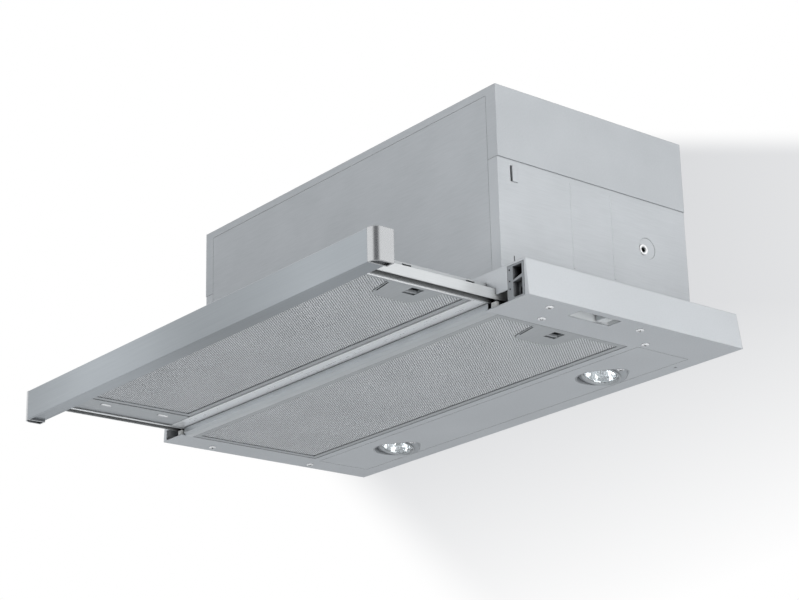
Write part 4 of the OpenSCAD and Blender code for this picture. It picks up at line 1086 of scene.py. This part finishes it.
@dataclass
class LampUnit(Assembly):
    """One tilted reflector lamp in its teardrop recess.

    Attributes:
        side: Which of the two lamps.
        middle_x: Middle between the two lamps.
        spacing: Distance between the two lamps.
        lamp_y: Place of the lamps along Y.
        lamp_z: Height of the lamps' faces.
        tilt: Forward tilt, in degrees.
        face_r: Radius of the reflector's mouth.
        neck_r: Radius of its neck.
        depth: Depth of the reflector.
        wall: Thickness of its glass.
        seat: Height of its mouth over the lamp's face.
        facet_rings: Facets from mouth to neck.
        facet_count: Facets round the reflector.
        bezel: Radius and height of the ring's outline, from the lamp's face.
    """

    side: Side
    middle_x: float = -14.0
    spacing: float = 329.0
    lamp_y: float = 231.0
    lamp_z: float = 3.0
    tilt: float = 12.0
    face_r: float = 17.65
    neck_r: float = 6.0
    depth: float = 20.0
    wall: float = 1.2
    seat: float = 1.6
    facet_rings: int = 6
    facet_count: int = 16
    bezel: Sequence[Pair] = (
        (20.25, -0.15), (20.25, -1.2), (19.9, -1.8), (19.3, -2.1),
        (18.7, -1.9), (18.2, -1.3), (17.4, -0.15), (20.25, -0.15)
    )

    @property
    def lamp_x(self) -> float:
        """Place of the lamp along X."""
        return self.middle_x + self.side.value * self.spacing / 2

    def place(self) -> Matrix:
        """Where the lamp's tilted face is."""
        tilt = Matrix.Rotation(math.radians(-self.tilt), 4, "X")
        return Matrix.Translation(drawn(self.lamp_x, self.lamp_y, self.lamp_z)) @ tilt

    def bell_r(self, share: float) -> float:
        """Radius of the bell at a share of its depth."""
        return self.neck_r + (self.face_r - self.neck_r) * math.sqrt(max(1 - share, 0.0))

    def dress(self) -> None:
        """Dress the recess and the glass."""
        dress(LAMP_PLASTIC, f"lamp_housing_{self.side.label}")
        dress(LAMP_GLASS, f"lamp_glass_{self.side.label}")

    def build(self) -> None:
        """Make the faceted reflector and the rounded ring in place of the plain ones."""
        steps = [ring / self.facet_rings for ring in range(self.facet_rings + 1)]
        outer = [(self.bell_r(share), self.depth * share) for share in steps]
        inner = [(radius - self.wall, height) for radius, height in outer]
        profile = [*reversed(outer), *inner, outer[-1]]
        seat = self.place() @ Matrix.Translation((0, 0, self.seat * MM))
        count = self.facet_count * 2
        reflector = add_piece(
            f"faceted_reflector_{self.side.label}", "hood", REFLECTOR_COAT,
            lambda work: turned(work, profile, seat, count, lambda ring: 0.5 * (ring % 2))
        )
        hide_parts(f"lamp_reflector_{self.side.label}")
        bezel = add_piece(
            f"rounded_bezel_{self.side.label}", "hood", RING_PLASTIC,
            lambda work: turned(work, self.bezel, self.place()), smooth_below=50
        )
        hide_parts(f"lamp_ring_{self.side.label}")


@dataclass
class LampFittings(Assembly):
    """Pieces that the two lamps share.

    Attributes:
        lamps: The two lamps.
        screw: Screw of the recesses.
        screw_shift: Distance of the recess screw from the lamp's middle.
        screw_z: Height of the screw head's seat.
    """

    lamps: Sequence[LampUnit]
    screw: CrossScrew = CrossScrew(head_r=4.0, head_h=1.8, shank_r=2.3, shank_len=6.0)
    screw_shift: float = 29.0
    screw_z: float = 2.17

    def dress(self) -> None:
        """Dress the capsules' ceramic."""
        dress(LAMP_CERAMIC, "lamp_capsules")

    def build(self) -> None:
        """Make the two recess screws."""
        places = [
            Matrix.Translation(drawn(lamp.lamp_x + self.screw_shift, lamp.lamp_y, self.screw_z))
            for lamp in self.lamps
        ]
        screws = self.screw.make("recess_screws", places)
        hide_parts("lamp_screws")


@dataclass
class GreaseFilter(Assembly):
    """Framed expanded-metal filter with its handle plate.

    Attributes:
        name: Its body, and the first word of its nodes' names.
        x0: Left outside of its frame.
        x1: Right outside of its frame.
        y0: Front outside of its frame.
        y1: Rear outside of its frame.
        z0: Underside of its frame.
        plate_y: Middle of the handle plate.
        rim: Width of the frame's rim.
        plate_gap: Distance of the plate's straight edge from the frame's outside.
        plate_half: Half length of the plate's straight edge.
        plate_depth: Depth of the handle plate.
        plate_r: Radius of its two corners.
        plate_lean: Lean of its ends, in degrees.
        opening_x: Diagonal of one mesh opening along X.
        opening_y: Diagonal of one mesh opening along Y.
        long_strand: Share of the pitch that the strands toward the lens take.
        cross_strand: Share of the pitch that the strands across them take.
        layer: Height of the layer's lower and upper strands over the frame's underside.
        bond_rise: How much higher than the lower strands their bonds are.
    """

    name: str
    x0: float
    x1: float
    y0: float
    y1: float
    z0: float
    plate_y: float
    rim: float = 6.0
    plate_gap: float = 0.5
    plate_half: float = 32.0
    plate_depth: float = 42.0
    plate_r: float = 12.0
    plate_lean: float = 11.0
    opening_x: float = 3.0
    opening_y: float = 3.6
    long_strand: float = 0.46
    cross_strand: float = 0.24
    layer: Pair = (0.55, 1.25)
    bond_rise: float = 0.2

    def dress(self) -> None:
        """Dress the frame, the plate, the latch, and the inner layers in painted shade."""
        dress(FILTER_ALUMINIUM, f"{self.name}_frame", f"{self.name}_handle", f"{self.name}_latch")
        dress(MESH_INSIDE_PAINTED_SHADE, f"{self.name}_mesh")

    def off_plate(self, x: float, y: float) -> bool:
        """Whether a place is clear of the handle plate."""
        depth, side = self.x1 - self.plate_gap - x, abs(y - self.plate_y)
        lean = math.radians(self.plate_lean)
        corner = self.plate_depth - self.plate_r
        corner_side = self.plate_half - corner * math.tan(lean) - self.plate_r / math.cos(lean)
        if depth > corner and side > corner_side:
            return math.hypot(depth - corner, side - corner_side) > self.plate_r
        edge = self.plate_half - depth * math.tan(lean)
        return depth > self.plate_depth or side > edge

    def add_mesh(self, work: BMesh) -> None:
        """Add one layer of expanded metal inside the rim.

        Args:
            work: Mesh that takes the layer.
        """
        low, high = (self.z0 + rise for rise in self.layer)
        half_x, half_y = self.opening_x / 2, self.opening_y / 2
        left, right = self.x0 + self.rim, self.x1 - self.rim
        front, rear = self.y0 + self.rim, self.y1 - self.rim
        columns = int((right - left) / self.opening_x)
        rows = int((rear - front) / half_y)
        pitch_x = (right - left) / columns
        pitch_y = (rear - front) / rows
        a, b = 0.5 - self.long_strand / 2, 0.5 - self.cross_strand / 2
        wide, tall = (a + b) * half_x, (a - b) * half_y
        slim, high_y = (a - b) * half_x, (a + b) * half_y
        bonds: dict[tuple[int, int], bmesh.types.BMVert] = {}

        def bond(i: int, j: int) -> bmesh.types.BMVert:
            """Shared corner of the openings at half columns and rows."""
            if (i, j) not in bonds:
                x = min(max(left + i * pitch_x / 2, left), right)
                y = min(max(front + j * pitch_y, front), rear)
                z = high if (i + j) % 2 else low + self.bond_rise
                bonds[i, j] = work.verts.new(drawn(x, y, z))
            return bonds[i, j]

        for j in range(1, rows):
            for column in range(columns):
                i = 2 * column + 1 + (j % 2)
                x, y = left + i * pitch_x / 2, front + j * pitch_y
                if i >= 2 * columns or not self.off_plate(x, y):
                    continue
                outer = [bond(i - 1, j), bond(i, j - 1), bond(i + 1, j), bond(i, j + 1)]
                inner = [
                    work.verts.new(drawn(x + dx, y + dy, z))
                    for dx, dy, z in (
                        (-wide, -tall, high),
                        (-slim, -high_y, low),
                        (wide, tall, high),
                        (slim, high_y, low),
                    )
                ]
                for side in range(4):
                    after = (side + 1) % 4
                    work.faces.new((outer[side], outer[after], inner[after], inner[side]))

    def build(self) -> None:
        """Make the visible layer of expanded metal."""
        name = f"{self.name}_expanded"
        add_piece(name, self.name, MESH_ALUMINIUM, self.add_mesh)


@dataclass
class Drawer(Assembly):
    """Pull-out front with its sheet, its cross bar and its runners.

    Attributes:
        hem_places: Middle of the sheet's two rolled hems along X.
        hem_z: Height of the hems' middle.
        hem_r: Radius of the hems.
        hem_front: Front end of the hems.
        hem_rear: Rear end of the hems.
        bridge_x: Middle of the strip's lanced bridges.
        bridge_z: Height of the bridges' middle.
        bridge_r: Radius of a bridge's rounded back.
        bridge_len: Length of a bridge.
        bridge_fronts: Front ends of the bridges.
        bead_end: Rounding of a hem's or bridge's ends, as a share of its radius.
    """

    hem_places: Sequence[float] = (-264.1, 240.9)
    hem_z: float = 8.2
    hem_r: float = 0.9
    hem_front: float = -151.0
    hem_rear: float = -14.0
    bridge_x: float = -238.0
    bridge_z: float = 10.0
    bridge_r: float = 1.5
    bridge_len: float = 12.0
    bridge_fronts: Sequence[float] = (-116.0, -46.0)
    bead_end: float = 0.4

    def dress(self) -> None:
        """Dress the front, the caps, the sheet and the runners."""
        dress(FRONT_STAINLESS, "fascia")
        dress(CAP_CASTING, "fascia_cap_left", "fascia_cap_right")
        dress(DRAWER_SHEET, "drawer_tray")
        dress(REAR_BAR_STRIP, "drawer_rear_bar")
        for side in Side:
            dress(
                RUNNER_STEEL,
                f"runner_moving_{side.label}",
                f"runner_fixed_{side.label}",
                f"ball_cage_{side.label}",
            )

    def build(self) -> None:
        """Roll the hems along the drawer's sheet and press its bridges, both painted near white as
        highlights.
        """
        name = "drawer_rolled_hems"
        add_piece(name, "drawer", PAINTED_GLINT_STEEL, self.add_beads, smooth_below=50)

    def add_beads(self, work: BMesh) -> None:
        """Add the two hems and the bridges' rounded backs.

        Args:
            work: Mesh that takes them.
        """
        flat = Matrix.Rotation(math.radians(-90), 4, "X")
        length = self.hem_rear - self.hem_front
        beads = [(x, self.hem_front, self.hem_z, self.hem_r, length) for x in self.hem_places]
        beads += [
            (self.bridge_x, front, self.bridge_z, self.bridge_r, self.bridge_len)
            for front in self.bridge_fronts
        ]
        for x, y, z, radius, length in beads:
            end = self.bead_end * radius
            profile = [(0.0, 0.0), (radius - end, 0.0), (radius, end), (radius, length - end)]
            profile += [(radius - end, length), (0.0, length)]
            turned(work, profile, Matrix.Translation(drawn(x, y, z)) @ flat, segments=16)


def main() -> None:
    """Build and dress the hood and its studio."""
    logging.basicConfig(level=logging.INFO, format="%(name)s: %(message)s")
    Studio().build()
    lamps = [LampUnit(side) for side in Side]
    filters = [
        GreaseFilter(
            "fixed_filter", x0=-262.0, x1=239.0, y0=14.75, y1=179.25, z0=0.3, plate_y=95.0
        ),
        GreaseFilter(
            "drawer_filter", x0=-226.0, x1=237.5, y0=-152.5, y1=-13.5, z0=10.1, plate_y=-75.0
        ),
    ]
    sheets = (UpperBox(), FanUnit(), BaseUnit())
    for unit in (*sheets, *lamps, LampFittings(lamps), *filters, Drawer()):
        unit.dress()
        unit.build()
        LOG.info("finished %s", type(unit).__name__)


if __name__ == "__main__":
    main()
